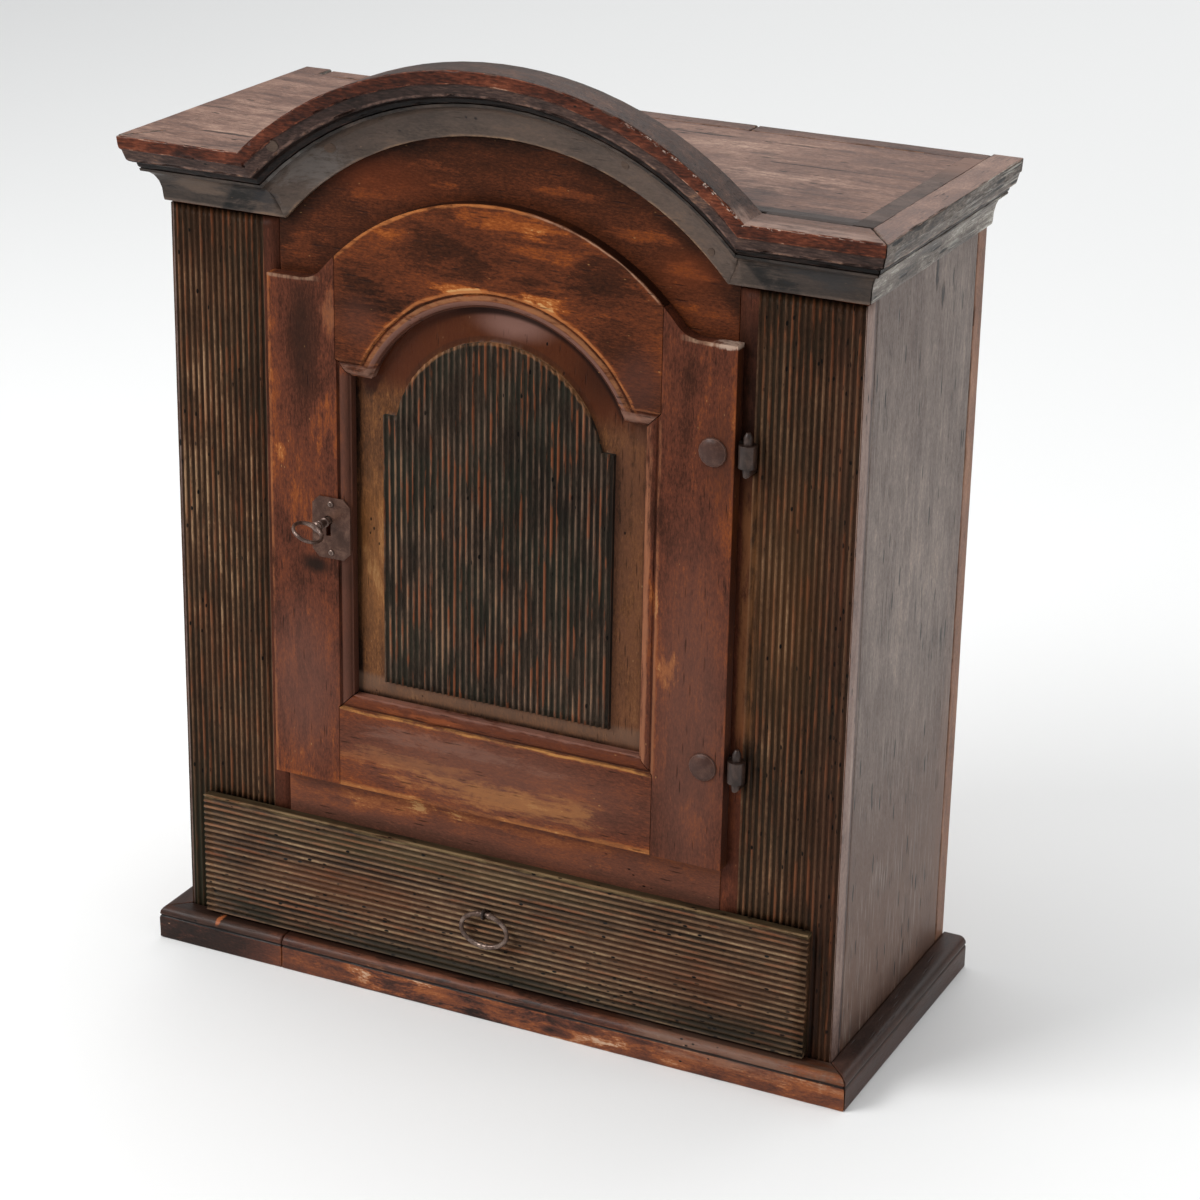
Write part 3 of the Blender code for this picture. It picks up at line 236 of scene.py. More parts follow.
class Finish:
    """One finish, built up in coats on the piece's own coordinates."""

    def __init__(self, name, shine, front=-0.13):
        self.material = bpy.data.materials.new(name)
        self.material.use_nodes = True
        self.tree = self.material.node_tree
        self.shader = self.tree.nodes["Principled BSDF"]
        self.shader.inputs["Specular IOR Level"].default_value = shine
        self.front = front
        self.place = self.add("ShaderNodeTexCoord").outputs["Object"]
        swirl = self.add("ShaderNodeTexNoise",
                         {"Vector": self.place, "Scale": 48.0, "Detail": 4.0}).outputs["Color"]
        swirl = self.add("ShaderNodeVectorMath", {0: swirl, 1: (0.5, 0.5, 0.5)},
                         operation="SUBTRACT").outputs[0]
        swirl = self.add("ShaderNodeVectorMath", {0: swirl, "Scale": 0.004}, operation="SCALE").outputs[0]
        self.loose = self.add("ShaderNodeVectorMath", {0: self.place, 1: swirl}, operation="ADD").outputs[0]
        self.where = self.measures(self.loose)
        self.exact = self.measures(self.place)

    def measures(self, where):
        """Places across, in depth and in height, from the middle line, and from the centre of the arch."""
        axes = self.add("ShaderNodeSeparateXYZ", {0: where}).outputs
        above = self.calc("SUBTRACT", axes[2], ARCH_Z)
        flat = self.add("ShaderNodeCombineXYZ", {0: axes[0], 1: 0.0, 2: above}).outputs[0]
        reach = self.add("ShaderNodeVectorMath", {0: flat}, operation="LENGTH").outputs["Value"]
        return {"x": axes[0], "y": axes[1], "z": axes[2], "|x|": self.calc("ABSOLUTE", axes[0], 0.0),
                "r": reach}

    def add(self, kind, values=None, **settings):
        made = self.tree.nodes.new(kind)
        for key, value in settings.items():
            setattr(made, key, value)
        for key, value in (values or {}).items():
            if isinstance(value, bpy.types.NodeSocket):
                self.tree.links.new(value, made.inputs[key])
            else:
                made.inputs[key].default_value = value
        return made

    def calc(self, operation, one, two):
        return self.add("ShaderNodeMath", {0: one, 1: two}, operation=operation).outputs[0]

    def times(self, one, two):
        return self.calc("MULTIPLY", one, two)

    def total(self, level, *parts):
        """The level with each part added at its share."""
        for value, share in parts:
            level = self.calc("ADD", level, self.times(value, share))
        return level

    def step(self, value, low, high):
        made = self.add("ShaderNodeMapRange", {"Value": value, "From Min": low, "From Max": high},
                        interpolation_type="SMOOTHSTEP")
        return made.outputs[0]

    def sheen(self, value, low, high):
        """Roughness from low to high as a cloud goes from thin to thick."""
        spread = {"Value": value, "From Min": 0.3, "From Max": 0.7, "To Min": low, "To Max": high}
        return self.add("ShaderNodeMapRange", spread).outputs[0]

    def along(self, grain, share, seed):
        stretch = [share if axis == grain else 1.0 for axis in "XYZ"]
        shift = (seed, seed * 0.7, seed * 0.3)
        return self.add("ShaderNodeMapping",
                        {"Vector": self.place, "Scale": stretch, "Location": shift}).outputs[0]

    def cloud(self, where, scale, detail=5.0, rough=0.6, twist=0.0):
        made = self.add("ShaderNodeTexNoise", {"Vector": where, "Scale": scale, "Detail": detail,
                                               "Roughness": rough, "Distortion": twist})
        return made.outputs["Fac"]

    def dots(self, grain, share, seed, scale, inner, outer):
        where = self.along(grain, share, seed)
        cells = self.add("ShaderNodeTexVoronoi", {"Vector": where, "Scale": scale}).outputs["Distance"]
        return self.calc("SUBTRACT", 1.0, self.step(cells, inner, outer))

    def mark(self, name):
        return self.add("ShaderNodeAttribute", attribute_name=name).outputs["Fac"]

    def cover(self, under, over, amount):
        return self.add("ShaderNodeMix", {0: amount, 6: under, 7: over}, data_type="RGBA").outputs[2]

    def lay(self, under, shade, amount, share=1.0):
        return self.cover(under, tone(*shade), self.times(amount, share))

    def coats(self, value, stops):
        made = self.add("ShaderNodeValToRGB", {0: value})
        ramp = made.color_ramp
        while len(ramp.elements) < len(stops):
            ramp.elements.new(0.5)
        for element, (share, colour) in zip(ramp.elements, stops):
            element.position = share
            element.color = tone(*colour)
        return made.outputs[0]

    def spot(self, centre, size, rag):
        near = self.add("ShaderNodeMapping", {"Vector": self.loose, "Location": centre, "Scale": size},
                        vector_type="TEXTURE").outputs[0]
        ball = self.add("ShaderNodeTexGradient", {"Vector": near}, gradient_type="SPHERICAL").outputs["Fac"]
        return self.times(self.step(ball, 0.0, 0.30), self.step(self.calc("ADD", ball, rag), 0.20, 0.85))

    def torn(self, rag, lines):
        """Ragged edge of a rubbed place: broad tatters with the grain's lines in them, about nought."""
        broad, fine = 3.4, 2.2
        return self.total(-0.5 * (broad + fine), (rag, broad), (lines, fine))

    def band(self, name, low, high, soft, where=None):
        measure = (where or self.where)[name]
        rise = self.step(measure, low - soft, low + soft)
        fall = self.step(measure, high - soft, high + soft)
        return self.times(rise, self.calc("SUBTRACT", 1.0, fall))

    def mask(self, kind, sizes, rag):
        """Ragged spot or band, or an even haze or line of shade; a band may be bounded along more axes.

        A spot or haze has a centre and a reach, or on a front just its x, z, width and height.
        """
        if kind in ("spot", "haze"):
            if len(sizes) == 4:
                x, z, wide, tall = sizes
                sizes = (x, self.front, z), (wide, 0.1, tall)
            return self.spot(*sizes, rag if kind == "spot" else 0.0)
        shade = self.step(rag, -0.60, 0.30) if kind == "band" else 1.0
        for i in range(0, len(sizes), 4):
            shade = self.times(self.band(*sizes[i:i + 4], self.exact if kind == "line" else None), shade)
        return shade

    def wear(self, level, places, rag):
        """Add rubbed places, above nought, and dirty ones, below it, to the wear of the coats."""
        return self.total(level, *((self.mask(kind, sizes, rag), amount) for kind, amount, *sizes in places))

    def tint(self, colour, tints, rag):
        """Lay a colour of its own over a place: soot, wax, a thin wash."""
        for kind, amount, shade, *sizes in tints:
            colour = self.lay(colour, shade, self.mask(kind, sizes, rag), amount)
        return colour

    def checks(self, grain, seed, many):
        """Open grain and drying cracks: thin, long and crisp, in drifts."""
        thin = self.step(self.cloud(self.along(grain, 0.04, seed + 17), 460.0, 3.0, 0.62), 0.55, 0.62)
        few = 0.2 * many
        return self.times(thin, self.step(self.cloud(self.place, 16.0, 3.0), 0.60 - few, 0.74 - few))

    def pits(self, grain, seed, many, long, wide=1.0, scale=130.0):
        """Worm holes and dents, longer with the grain, in drifts."""
        few = 0.16 * many
        drift = self.step(self.cloud(self.place, 15.0, 3.0), 0.56 - few, 0.70 - few)
        return self.times(self.dots(grain, long, seed, scale, 0.08 * wide, 0.125 * wide), drift)

    def finish(self, colour, rough, height, depth):
        self.tree.links.new(colour, self.shader.inputs["Base Color"])
        self.tree.links.new(rough, self.shader.inputs["Roughness"])
        relief = self.add("ShaderNodeBump", {"Height": height, "Strength": 0.35, "Distance": depth})
        self.tree.links.new(relief.outputs[0], self.shader.inputs["Normal"])
        return self.material


def build_up(steps, *shades):
    """Coats of a finish, each shade with the wear at which it shows."""
    return tuple(zip(steps, shades))


def worn_paint(name, grain, stops, level, seed, places=(), tints=(), edge=0.2, patch=0.7, blot=0.45,
               streak=0.35, fibre=0.35, flake=0.10, pits=-0.2, pores=0.35, long=0.6, wide=1.0, checks=0.0,
               pale=None, gloss=(0.34, 0.60), shine=0.05, front=-0.13):
    """Old paint or stain whose coats show one under the other: soot, colour, thin colour, bare wood."""
    r = Finish(name, shine, front)
    broad = r.cloud(r.along(grain, 0.45, seed), 10.0, 6.0, 0.62, 0.5)
    rag = r.cloud(r.along(grain, 0.42, seed + 3), 46.0, 9.0, 0.76, 0.4)
    lines = r.cloud(r.along(grain, 0.09, seed + 5), 190.0, 6.0, 0.72)
    hairs = r.cloud(r.along(grain, 0.35, seed + 7), 800.0, 3.0, 0.70)
    worn = level - 0.5 * (patch + blot + streak + fibre)
    worn = r.total(worn, (broad, patch), (rag, blot), (lines, streak), (hairs, fibre))
    torn = r.torn(rag, lines)
    bare = r.times(r.mark("arris"), r.step(r.cloud(r.place, 70.0, 5.0, 0.7), 0.34, 0.56))
    chip = r.cloud(r.along(grain, 0.3, seed + 13), 95.0, 8.0, 0.75)
    chip = r.step(r.total(chip, (torn, 0.05)), 0.585, 0.625)
    worn = r.total(r.wear(worn, places, torn), (bare, edge), (chip, flake))
    colour = r.tint(r.coats(worn, stops), tints, torn)
    speck = r.times(r.dots(grain, 0.45, seed + 11, 190.0, 0.05, 0.11), r.step(torn, 0.05, 0.5))
    colour = r.lay(colour, stops[-1][1], speck, 0.45)
    pore = r.step(r.cloud(r.place, 28.0, 3.0), 0.42, 0.60)
    pore = r.times(r.dots(grain, 0.10, seed + 15, 330.0, 0.10, 0.24), pore)
    colour = r.lay(colour, (20, 12, 9), pore, pores)
    if pale:
        colour = r.lay(colour, pale, r.checks(grain, seed + 2, 1.0), 0.7)
    if checks:
        colour = r.lay(colour, (26, 19, 16), r.checks(grain, seed, checks), 0.8)
    hole = r.pits(grain, seed, pits, long, wide)
    colour = r.lay(colour, (14, 10, 8), hole)
    height = r.total(0.0, (lines, 0.6), (hairs, 0.4), (rag, 0.4), (hole, -0.9), (pore, -0.9))
    return r.finish(colour, r.sheen(r.total(0.0, (lines, 0.5), (rag, 0.5)), *gloss), height, 0.0011)


# The sides' coats: brown stain greyed by painted sheen.
SIDE_COATS = ((0.0, (22, 15, 12)), (0.22, (58, 42, 35)), (0.42, (84, 66, 58)), (0.6, (102, 88, 80)),
              (0.8, (122, 108, 100)), (1.0, (150, 132, 120)))
# Darker towards the bottom; lighter at middle height, which is painted sheen; a dark joint line near the front and
# dark marks.
side_places = (
    ("band", -0.26, "z", 0.0, 0.06, 0.03), ("band", -0.10, "z", 0.0, 0.22, 0.09),
    ("band", 0.10, "z", 0.30, 0.52, 0.10), ("band", -0.30, "y", -0.1025, -0.0985, 0.0018),
    ("spot", -0.75, (0.2805, 0.0165, 0.607), (0.03, 0.0045, 0.028)),
    ("spot", -0.75, (0.2805, 0.0300, 0.583), (0.03, 0.0055, 0.014)),
    ("spot", -0.60, (0.2805, 0.0814, 0.177), (0.03, 0.0060, 0.012)),
    ("spot", -0.45, (0.2805, -0.0104, 0.545), (0.03, 0.004, 0.022)),
)
# Browner towards the foot, where the painted sheen gives way; darker at the very bottom; warmer low at the back.
side_tints = (
    ("line", 0.72, (98, 70, 55), "z", -0.1, 0.19, 0.13),
    ("band", 0.6, (54, 37, 30), "z", -0.1, 0.045, 0.02),
    ("band", 0.5, (120, 92, 78), "y", 0.085, 0.14, 0.012, "z", 0.0, 0.36, 0.1),
)
side_stain = worn_paint(
    "side_stain", "Z", SIDE_COATS, 0.57, 3.1, side_places, side_tints, patch=0.6, blot=1.0, streak=0.7,
    fibre=0.9, pits=1.3, pores=0.8, long=0.14, wide=1.4, checks=0.45, pale=(134, 120, 111),
    gloss=(0.38, 0.56), shine=0.35)
for node in ("side_left", "side_right"):
    dress(aged_copy(node, 0.0012, 0.025, 0.0003, 0.0008), "worn_wood", [side_stain])


# Top, back and inside boards: the top lies in the rebate behind the cornice, the three back boards
# are nailed on, raw inside and out; shelf, cleats, deck and runners are raw softwood.
TOP_STEPS = (0.0, 0.25, 0.45, 0.62, 0.8, 1.0)
TOP_COATS = build_up(TOP_STEPS, (26, 17, 14), (60, 41, 34), (90, 65, 55), (112, 83, 70), (136, 106, 91),
                     (168, 140, 122))
top_places = (
    ("spot", -0.6, (0.05, 0.075, 0.667), (0.16, 0.0035, 0.05)),
    ("spot", -0.6, (-0.235, -0.105, 0.667), (0.05, 0.003, 0.05)),
    ("spot", -0.45, (0.19, 0.02, 0.667), (0.10, 0.0025, 0.05)),
    ("spot", 0.15, (0.16, -0.03, 0.667), (0.08, 0.05, 0.05)), ("band", -0.22, "y", 0.10, 0.16, 0.008),
    ("band", 0.10, "x", -0.40, -0.16, 0.02),
)
top_tints = (("line", 0.92, (50, 41, 37), "y", -0.13, -0.1000, 0.0022, "x", 0.185, 0.30, 0.010),)
top_wood = worn_paint(
    "top_wood", "X", TOP_COATS, 0.59, 8.4, top_places, top_tints, edge=0.0, patch=0.9, blot=0.9, streak=0.7,
    fibre=0.8, flake=0.08, pits=1.1, pores=0.7, long=0.25, wide=1.2, checks=0.45, gloss=(0.40, 0.60),
    shine=0.22)
dress(aged_copy("top_board", 0.0012, 0.025, 0.0004, 0.0006), "worn_wood", [top_wood])

# Strips in the rebate round the top board: on the left, putty laid level from the cornice to the board;
# on the right and in front, a crust of old pitch and dust with a ragged edge.
board_low, board_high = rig.box("top_board")
side_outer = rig.box("side_right")[1][0]
rim_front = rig.box("front_stile_right")[0][1]
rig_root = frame["nodes"]["top_board"]["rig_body"]


def strip(name, low, high, finish, sag, axis=0, fall=0.0):
    """Strip between two corners; its upper face may fall along an axis."""
    bm = bmesh.new()
    made = bmesh.ops.create_cube(bm, size=1.0)["verts"]
    bmesh.ops.scale(bm, verts=made, vec=Vector(high) - Vector(low))
    bmesh.ops.translate(bm, verts=made, vec=(Vector(high) + Vector(low)) / 2)
    for v in made:
        if v.co[axis] > (low[axis] + high[axis]) / 2 and v.co.z > (low[2] + high[2]) / 2:
            v.co.z -= fall
    weather(bm, name, low, high, 0.0004, 0.005, sag, 0.0004)
    dress(settle(name, bm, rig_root), "worn_wood", [finish])


PITCH_COATS = ((0.0, (34, 26, 23)), (0.3, (68, 56, 51)), (0.55, (92, 78, 72)), (0.75, (108, 93, 86)),
               (1.0, (136, 118, 108)))
pitch_tints = (
    ("line", 0.75, (126, 98, 86), "y", 0.045, 0.2, 0.03),
    ("line", 0.80, (50, 41, 37), "y", -0.14, -0.1, 0.003),
)
pitch = worn_paint(
    "pitch", "X", PITCH_COATS, 0.42, 8.9, (), pitch_tints, edge=0.1, patch=0.7, blot=1.2, streak=0.2,
    pits=1.0, pores=0.6, gloss=(0.5, 0.8), shine=0.2)
RIM_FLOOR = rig.box("side_right")[1][2]
LAP = 0.0016             # over the rounded edges of the cornice and the board
rim_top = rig.box("crown_left")[1][2] - 0.0001
rim_fall = rim_top - board_high.z + 0.0002
rim_back = board_low.y
strip(
    "top_putty_left", (-side_outer - LAP, rim_front - LAP, RIM_FLOOR),
    (board_low.x + LAP, board_high.y, rim_top), top_wood, 0.0, 0, rim_fall)
strip(
    "top_putty_front", (-side_outer + LAP, rim_front - LAP, RIM_FLOOR), (-0.2040, rim_back + LAP, rim_top),
    top_wood, 0.0, 1, rim_fall)
strip(
    "pitch_right", (board_high.x - LAP, rim_front + 0.0012, RIM_FLOOR),
    (side_outer + 0.0010, board_high.y - 0.0006, rim_top + 0.0002), pitch, 0.0012)
strip(
    "pitch_front", (0.2010, rim_front + 0.0012, RIM_FLOOR),
    (side_outer - 0.0002, rim_back + LAP, board_high.z + 0.0005), pitch, 0.0010)

RAW_STEPS = (0.0, 0.3, 0.5, 0.7, 1.0)
RAW_COATS = build_up(RAW_STEPS, (58, 38, 26), (102, 70, 47), (136, 96, 64), (162, 120, 82), (196, 156, 114))
RAW = dict(edge=0.1, patch=0.8, blot=0.7, streak=0.7, fibre=0.6, pits=0.1, gloss=(0.6, 0.8), shine=0.25)
raw_flat = worn_paint("raw_flat", "X", RAW_COATS, 0.5, 5.7, **RAW)
raw_deep = worn_paint("raw_deep", "Y", RAW_COATS, 0.5, 7.7, **RAW)
BACK_COATS = build_up(RAW_STEPS, (44, 30, 24), (86, 62, 50), (114, 86, 70), (136, 106, 88), (166, 136, 114))
raw_back = worn_paint(
    "raw_back", "Z", BACK_COATS, 0.48, 6.6, edge=0.15, patch=0.9, blot=0.7, streak=0.8, fibre=0.6, pits=0.3,
    gloss=(0.6, 0.8), shine=0.25)
BACK_EDGE_COATS = build_up(RAW_STEPS, (40, 26, 20), (92, 62, 47), (126, 90, 71), (146, 108, 86),
                           (180, 142, 116))
back_edge = worn_paint(
    "back_edge", "Z", BACK_EDGE_COATS, 0.52, 6.9, edge=-0.2, patch=1.0, blot=0.8, fibre=0.6, pits=0.6,
    long=0.3, shine=0.2)
BACK_EDGE = 0.27         # the outer edges of the back lie beyond it


def back_faces(centre, normal):
    if abs(normal.x) > 0.5 and abs(centre.x) > BACK_EDGE:
        return 2
    return int(normal.z > 0.3)


for node in ("bottom_board", "deck_board", "shelf"):
    dress(aged_copy(node, 0.0012, 0.04, 0.0003), "raw_wood", [raw_flat])
for node in ("back_board_left", "back_board_middle", "back_board_right"):
    dress(aged_copy(node, 0.0016, 0.008, 0.0005, 0.0040),
          "raw_wood", [raw_back, top_wood, back_edge], back_faces)
for node in ("drawer_runner_left", "drawer_runner_right", "shelf_cleat_left", "shelf_cleat_right"):
    dress(aged_copy(node, 0.0012, 0.04, 0.0002), "raw_wood", [raw_deep])


# Front frame: two stiles worked with upright reeds, a plain rail over and under the drawer, and an
# arched rail above the door. Painted red-brown and green-black, then rubbed by hands and dusters.
RED_STEPS = (0.0, 0.22, 0.38, 0.52, 0.62, 0.72, 0.84, 0.93, 1.0)
RED_COATS = build_up(RED_STEPS, (18, 10, 7), (46, 25, 17), (66, 36, 25), (90, 49, 35), (106, 57, 36),
                     (122, 64, 34), (142, 80, 42), (164, 104, 58), (190, 142, 90))
WARM_COATS = build_up(RED_STEPS, (18, 9, 5), (46, 24, 14), (66, 34, 20), (92, 47, 27), (110, 56, 28),
                      (128, 65, 28), (150, 82, 38), (170, 106, 56), (192, 142, 90))
REED_DEPTH = 0.0018
frame_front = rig.box("middle_rail")[0][1]


def reed_height(front):
    def height(co):
        return max(0.0, min(1.0, 1 - (co.y - front) / REED_DEPTH)) if co.y < front + 0.004 else 0.0
    return height


def worn_reeds(name, grain, stops, groove, top, seed, places, tints, round_from, round_to, green, rust,
               lane_share, pits, blot=0.9, cloudy=0.5, run=0.02, worms=None, front=-0.13):
    """Soot and dark paint in the hollows, rubbed through to the wood along the tops, reed by reed."""
    r = Finish(name, 0.07, front)
    lines = r.cloud(r.along(grain, 0.09, seed + 5), 190.0, 6.0, 0.70)
    rag = r.cloud(r.along(grain, 0.40, seed + 3), 50.0, 8.0, 0.74, 0.4)
    broad = r.cloud(r.along(grain, 0.6, seed), 11.0, 5.0, 0.6, 0.5)
    lane = r.cloud(r.along(grain, run, seed + 2), 190.0, 3.0, 0.55)
    hairs = r.cloud(r.along(grain, 0.30, seed + 7), 750.0, 3.0, 0.70)
    rise = r.step(r.mark("ridge"), round_from, round_to)
    rubbed = r.total(top - groove - 0.5 * (lane_share + blot), (lane, lane_share), (rag, blot))
    torn = r.torn(rag, lines)
    rubbed = r.calc("MAXIMUM", r.wear(rubbed, places, torn), 0.0)
    bare = r.times(r.mark("arris"), r.step(r.cloud(r.place, 70.0, 5.0, 0.7), 0.34, 0.56))
    worn = r.total(groove - 0.5 - 0.5 * cloudy, (rise, rubbed), (broad, cloudy), (lines, 0.5), (hairs, 0.5),
                   (bare, 0.3))
    mossy = r.times(r.step(r.cloud(r.place, 17.0, 4.0), 0.40, 0.62), r.total(1.0, (rise, -0.65)))
    colour = r.lay(r.coats(worn, stops), (34, 42, 33), mossy, green)
    rusty = r.step(r.cloud(r.along(grain, 0.13, seed + 9), 190.0, 3.0, 0.6), 0.52, 0.62)
    colour = r.lay(colour, (134, 74, 44), r.times(rise, rusty), rust)
    colour = r.tint(colour, tints, torn)
    hole = r.pits(grain, seed, pits, 0.5, 1.2)
    if worms:
        eaten = r.times(r.pits(grain, seed + 4, 1.8, 0.4, 1.9, 240.0), r.band(*worms))
        hole = r.calc("MAXIMUM", hole, r.times(eaten, r.step(torn, -0.45, 0.0)))
    colour = r.lay(colour, (12, 9, 7), hole)
    return r.finish(colour, r.sheen(rag, 0.36, 0.62), r.total(0.0, (rag, 0.6), (lines, 0.4)), 0.0009)


REED_STEPS = (0.0, 0.25, 0.42, 0.58, 0.72, 0.86, 1.0)
REED_COATS = build_up(REED_STEPS, (12, 8, 5), (40, 25, 15), (58, 38, 25), (78, 54, 38), (98, 71, 51),
                      (120, 90, 66), (154, 122, 92))
stile_places = (
    ("band", -0.35, "z", 0.575, 0.70, 0.025),
    ("band", -0.16, "|x|", 0.240, 0.30, 0.012, "x", 0.2, 0.3, 0.01), ("band", -0.12, "z", 0.0, 0.14, 0.03),
    ("spot", 0.16, -0.245, 0.40, 0.05, 0.16), ("spot", 0.11, 0.222, 0.36, 0.022, 0.16),
)
# wood laid bare on the stile by the door's edge, and painted lighter to lift the door's shadow there
BESIDE_DOOR = ("band", 0.60, (132, 86, 52), "x", 0.1935, 0.2065, 0.002, "z", 0.27, 0.465, 0.03)
stile_tints = (
    BESIDE_DOOR, ("haze", 0.30, (98, 64, 36), 0.228, 0.38, 0.05, 0.18),
    # painted shade beside the drawer's right end
    ("line", 0.80, (16, 12, 9), "x", 0.2605, 0.2665, 0.0025, "z", 0.0, 0.137, 0.003),
    # painted shade with a dark stain beside the lower hinge
    ("spot", 0.8, (20, 15, 11), 0.204, 0.255, 0.012, 0.03),
    ("haze", 0.6, (40, 42, 31), -0.272, 0.07, 0.05, 0.14),
    ("band", 0.35, (74, 46, 34), "x", 0.258, 0.30, 0.008),
)
stile_reeds = worn_reeds(
    "stile_reeds", "Z", REED_COATS, 0.30, 0.66, 2.2, stile_places, stile_tints, 0.15, 0.85, green=0.22,
    rust=0.35, lane_share=0.8, pits=0.9, front=-0.12, worms=("x", 0.262, 0.31, 0.010))
# painted shadow of the door on the strip beside its right edge, near the top
strip_places = (("band", -0.28, "x", 0.185, 0.21, 0.002, "z", 0.46, 0.59, 0.03),)
strip_red = worn_paint("strip_red", "Z", RED_COATS, 0.45, 2.9, strip_places, (BESIDE_DOOR,))
EDGE_COATS = build_up(RAW_STEPS, (30, 20, 16), (84, 62, 54), (122, 98, 88), (142, 120, 109),
                      (172, 150, 136))
edge_places = (("band", -0.45, "y", -0.1050, -0.1020, 0.0018), ("band", -0.25, "z", 0.0, 0.07, 0.03))
stile_edge = worn_paint(
    "stile_edge", "Z", EDGE_COATS, 0.54, 2.6, edge_places, edge=-0.15, patch=0.8, blot=0.9, streak=0.5,
    fibre=0.6, pits=0.8, pores=0.6, long=0.25, gloss=(0.4, 0.6), shine=0.35)
STILE_EDGE = 0.2785      # the outer edge lies beyond it
REEDS_FROM = 0.1995      # a plain strip runs inside it


def stile_faces(centre, normal):
    if abs(normal.x) > 0.7 and abs(centre.x) > STILE_EDGE:
        return 2
    return int(abs(centre.x) < REEDS_FROM or normal.y > -0.2)


for node in ("front_stile_left", "front_stile_right"):
    stile = aged_copy(node, 0.0, 0.010, 0.0003, 0.0, (("ridge", reed_height(frame_front)),))
    dress(stile, "reeded_paint", [stile_reeds, strip_red, stile_edge], stile_faces)

head_places = (
    ("spot", 0.16, 0.0569, 0.6617, 0.06, 0.006), ("spot", 0.16, 0.108, 0.6397, 0.05, 0.008),
    ("spot", 0.20, 0.1471, 0.6163, 0.035, 0.012), ("spot", 0.12, -0.0672, 0.6677, 0.05, 0.006),
    ("spot", 0.14, -0.1087, 0.6403, 0.03, 0.006), ("spot", 0.20, -0.0509, 0.6551, 0.022, 0.004),
    ("band", -0.22, "r", 0.226, 0.30, 0.006), ("spot", 0.10, -0.168, 0.600, 0.03, 0.02),
)
head_tints = (
    ("haze", 0.35, (104, 48, 24), -0.10, 0.655, 0.09, 0.03),
    ("haze", 0.40, (108, 52, 26), 0.145, 0.618, 0.05, 0.03),
)
head_red = worn_paint(
    "head_red", "X", WARM_COATS, 0.37, 1.3, head_places, head_tints, patch=0.9, streak=0.2, fibre=0.6,
    pores=0.6, front=-0.12)
dress(aged_copy("arched_top_rail", 0.0008, 0.02, 0.0002, 0.0004), "red_paint", [head_red])
rail_places = (
    ("spot", 0.16, 0.0184, 0.158, 0.12, 0.010), ("spot", 0.18, -0.10, 0.157, 0.09, 0.012),
    ("band", -0.22, "z", 0.0, 0.141, 0.004), ("spot", -0.14, 0.12, 0.15, 0.10, 0.02),
)
rail_tints = (("line", 0.25, (116, 82, 69), "z", 0.1, 0.2, 0.02),)
rail_red = worn_paint(
    "rail_red", "X", RED_COATS, 0.64, 1.8, rail_places, rail_tints, blot=0.7, fibre=0.6, pores=0.7,
    front=-0.12)
for node in ("middle_rail", "bottom_rail"):
    dress(aged_copy(node, 0.0008, 0.02, 0.0002, 0.0004), "red_paint", [rail_red])


# Cornice: a crown of several small members, sawn and worked to follow the arch, over a cove nailed
# up under it. The crown is red-brown, the cove grey-brown and rubbed along its lower edge.
CORNICE_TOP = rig.box("crown_left")[1][2]
CORNICE_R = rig.box("crown_front")[1][2] - ARCH_Z


def drop(co):
    """Millimetres below the cornice's upper edge, square to it."""
    return 1000 * max(CORNICE_R - math.hypot(co.x, co.z - ARCH_Z), CORNICE_TOP - co.z)


def crown_finish(name, grain, fascia, member, seed, places=(), chip=0.6, patch=0.8, streak=0.4, flaked=None,
                 cracks=0.0):
    """Fascia, stepped member and hollow under it, told apart by their drop from the upper edge; the hollow is painted
    dark as shade.
    """
    r = Finish(name, 0.12)
    broad = r.cloud(r.along(grain, 0.5, seed), 14.0, 6.0, 0.62, 0.5)
    hairs = r.cloud(r.along(grain, 0.2, seed + 7), 700.0, 3.0, 0.65)
    rag = r.cloud(r.along(grain, 0.5, seed + 3), 60.0, 8.0, 0.76, 0.4)
    lines = r.cloud(r.along(grain, 0.10, seed + 5), 170.0, 6.0, 0.70)
    down = r.mark("drop")
    upper_edge, on_member = r.step(down, 3.0, 1.0), r.step(down, 10.2, 11.4)
    # the lower edge takes a painted highlight; the hollow is darkened as painted shade
    lower_edge, hollow = r.times(r.step(down, 17.4, 18.4), r.step(down, 19.9, 19.1)), r.step(down, 19.6, 21.2)
    worn = 0.47 - 0.5 * (patch + 1.0 + streak + 1.0)
    worn = r.total(worn, (broad, patch), (rag, 1.0), (lines, streak), (hairs, 1.0))
    nick = r.step(r.cloud(r.place, 95.0, 5.0, 0.7), 0.40, 0.60)
    bare = r.times(r.mark("arris"), nick)
    worn = r.total(r.wear(worn, places, r.torn(rag, lines)), (hollow, -0.38), (bare, chip))
    colour = r.cover(r.coats(worn, fascia), r.coats(worn, member), on_member)
    # painted highlight along the member's lower edge, broken up where the paint is nicked
    colour = r.lay(colour, (122, 96, 86), r.times(lower_edge, nick), 0.6)
    if flaked:
        lost = r.times(r.step(r.cloud(r.place, 260.0, 4.0, 0.65), 0.56, 0.60), upper_edge)
        colour = r.lay(colour, (190, 168, 154), lost, r.band(*flaked))
    if cracks:
        colour = r.lay(colour, (160, 157, 148), r.checks(grain, seed + 2, 1.0), 0.75)
        colour = r.lay(colour, (22, 17, 14), r.checks(grain, seed, cracks), 0.85)
    colour = r.lay(colour, (14, 10, 8), r.pits(grain, seed, 0.6 + cracks, 0.5 - 0.4 * cracks, 1.0 + cracks))
    return r.finish(colour, r.sheen(rag, 0.30, 0.56), r.total(0.0, (rag, 0.6), (lines, 0.4)), 0.0018)


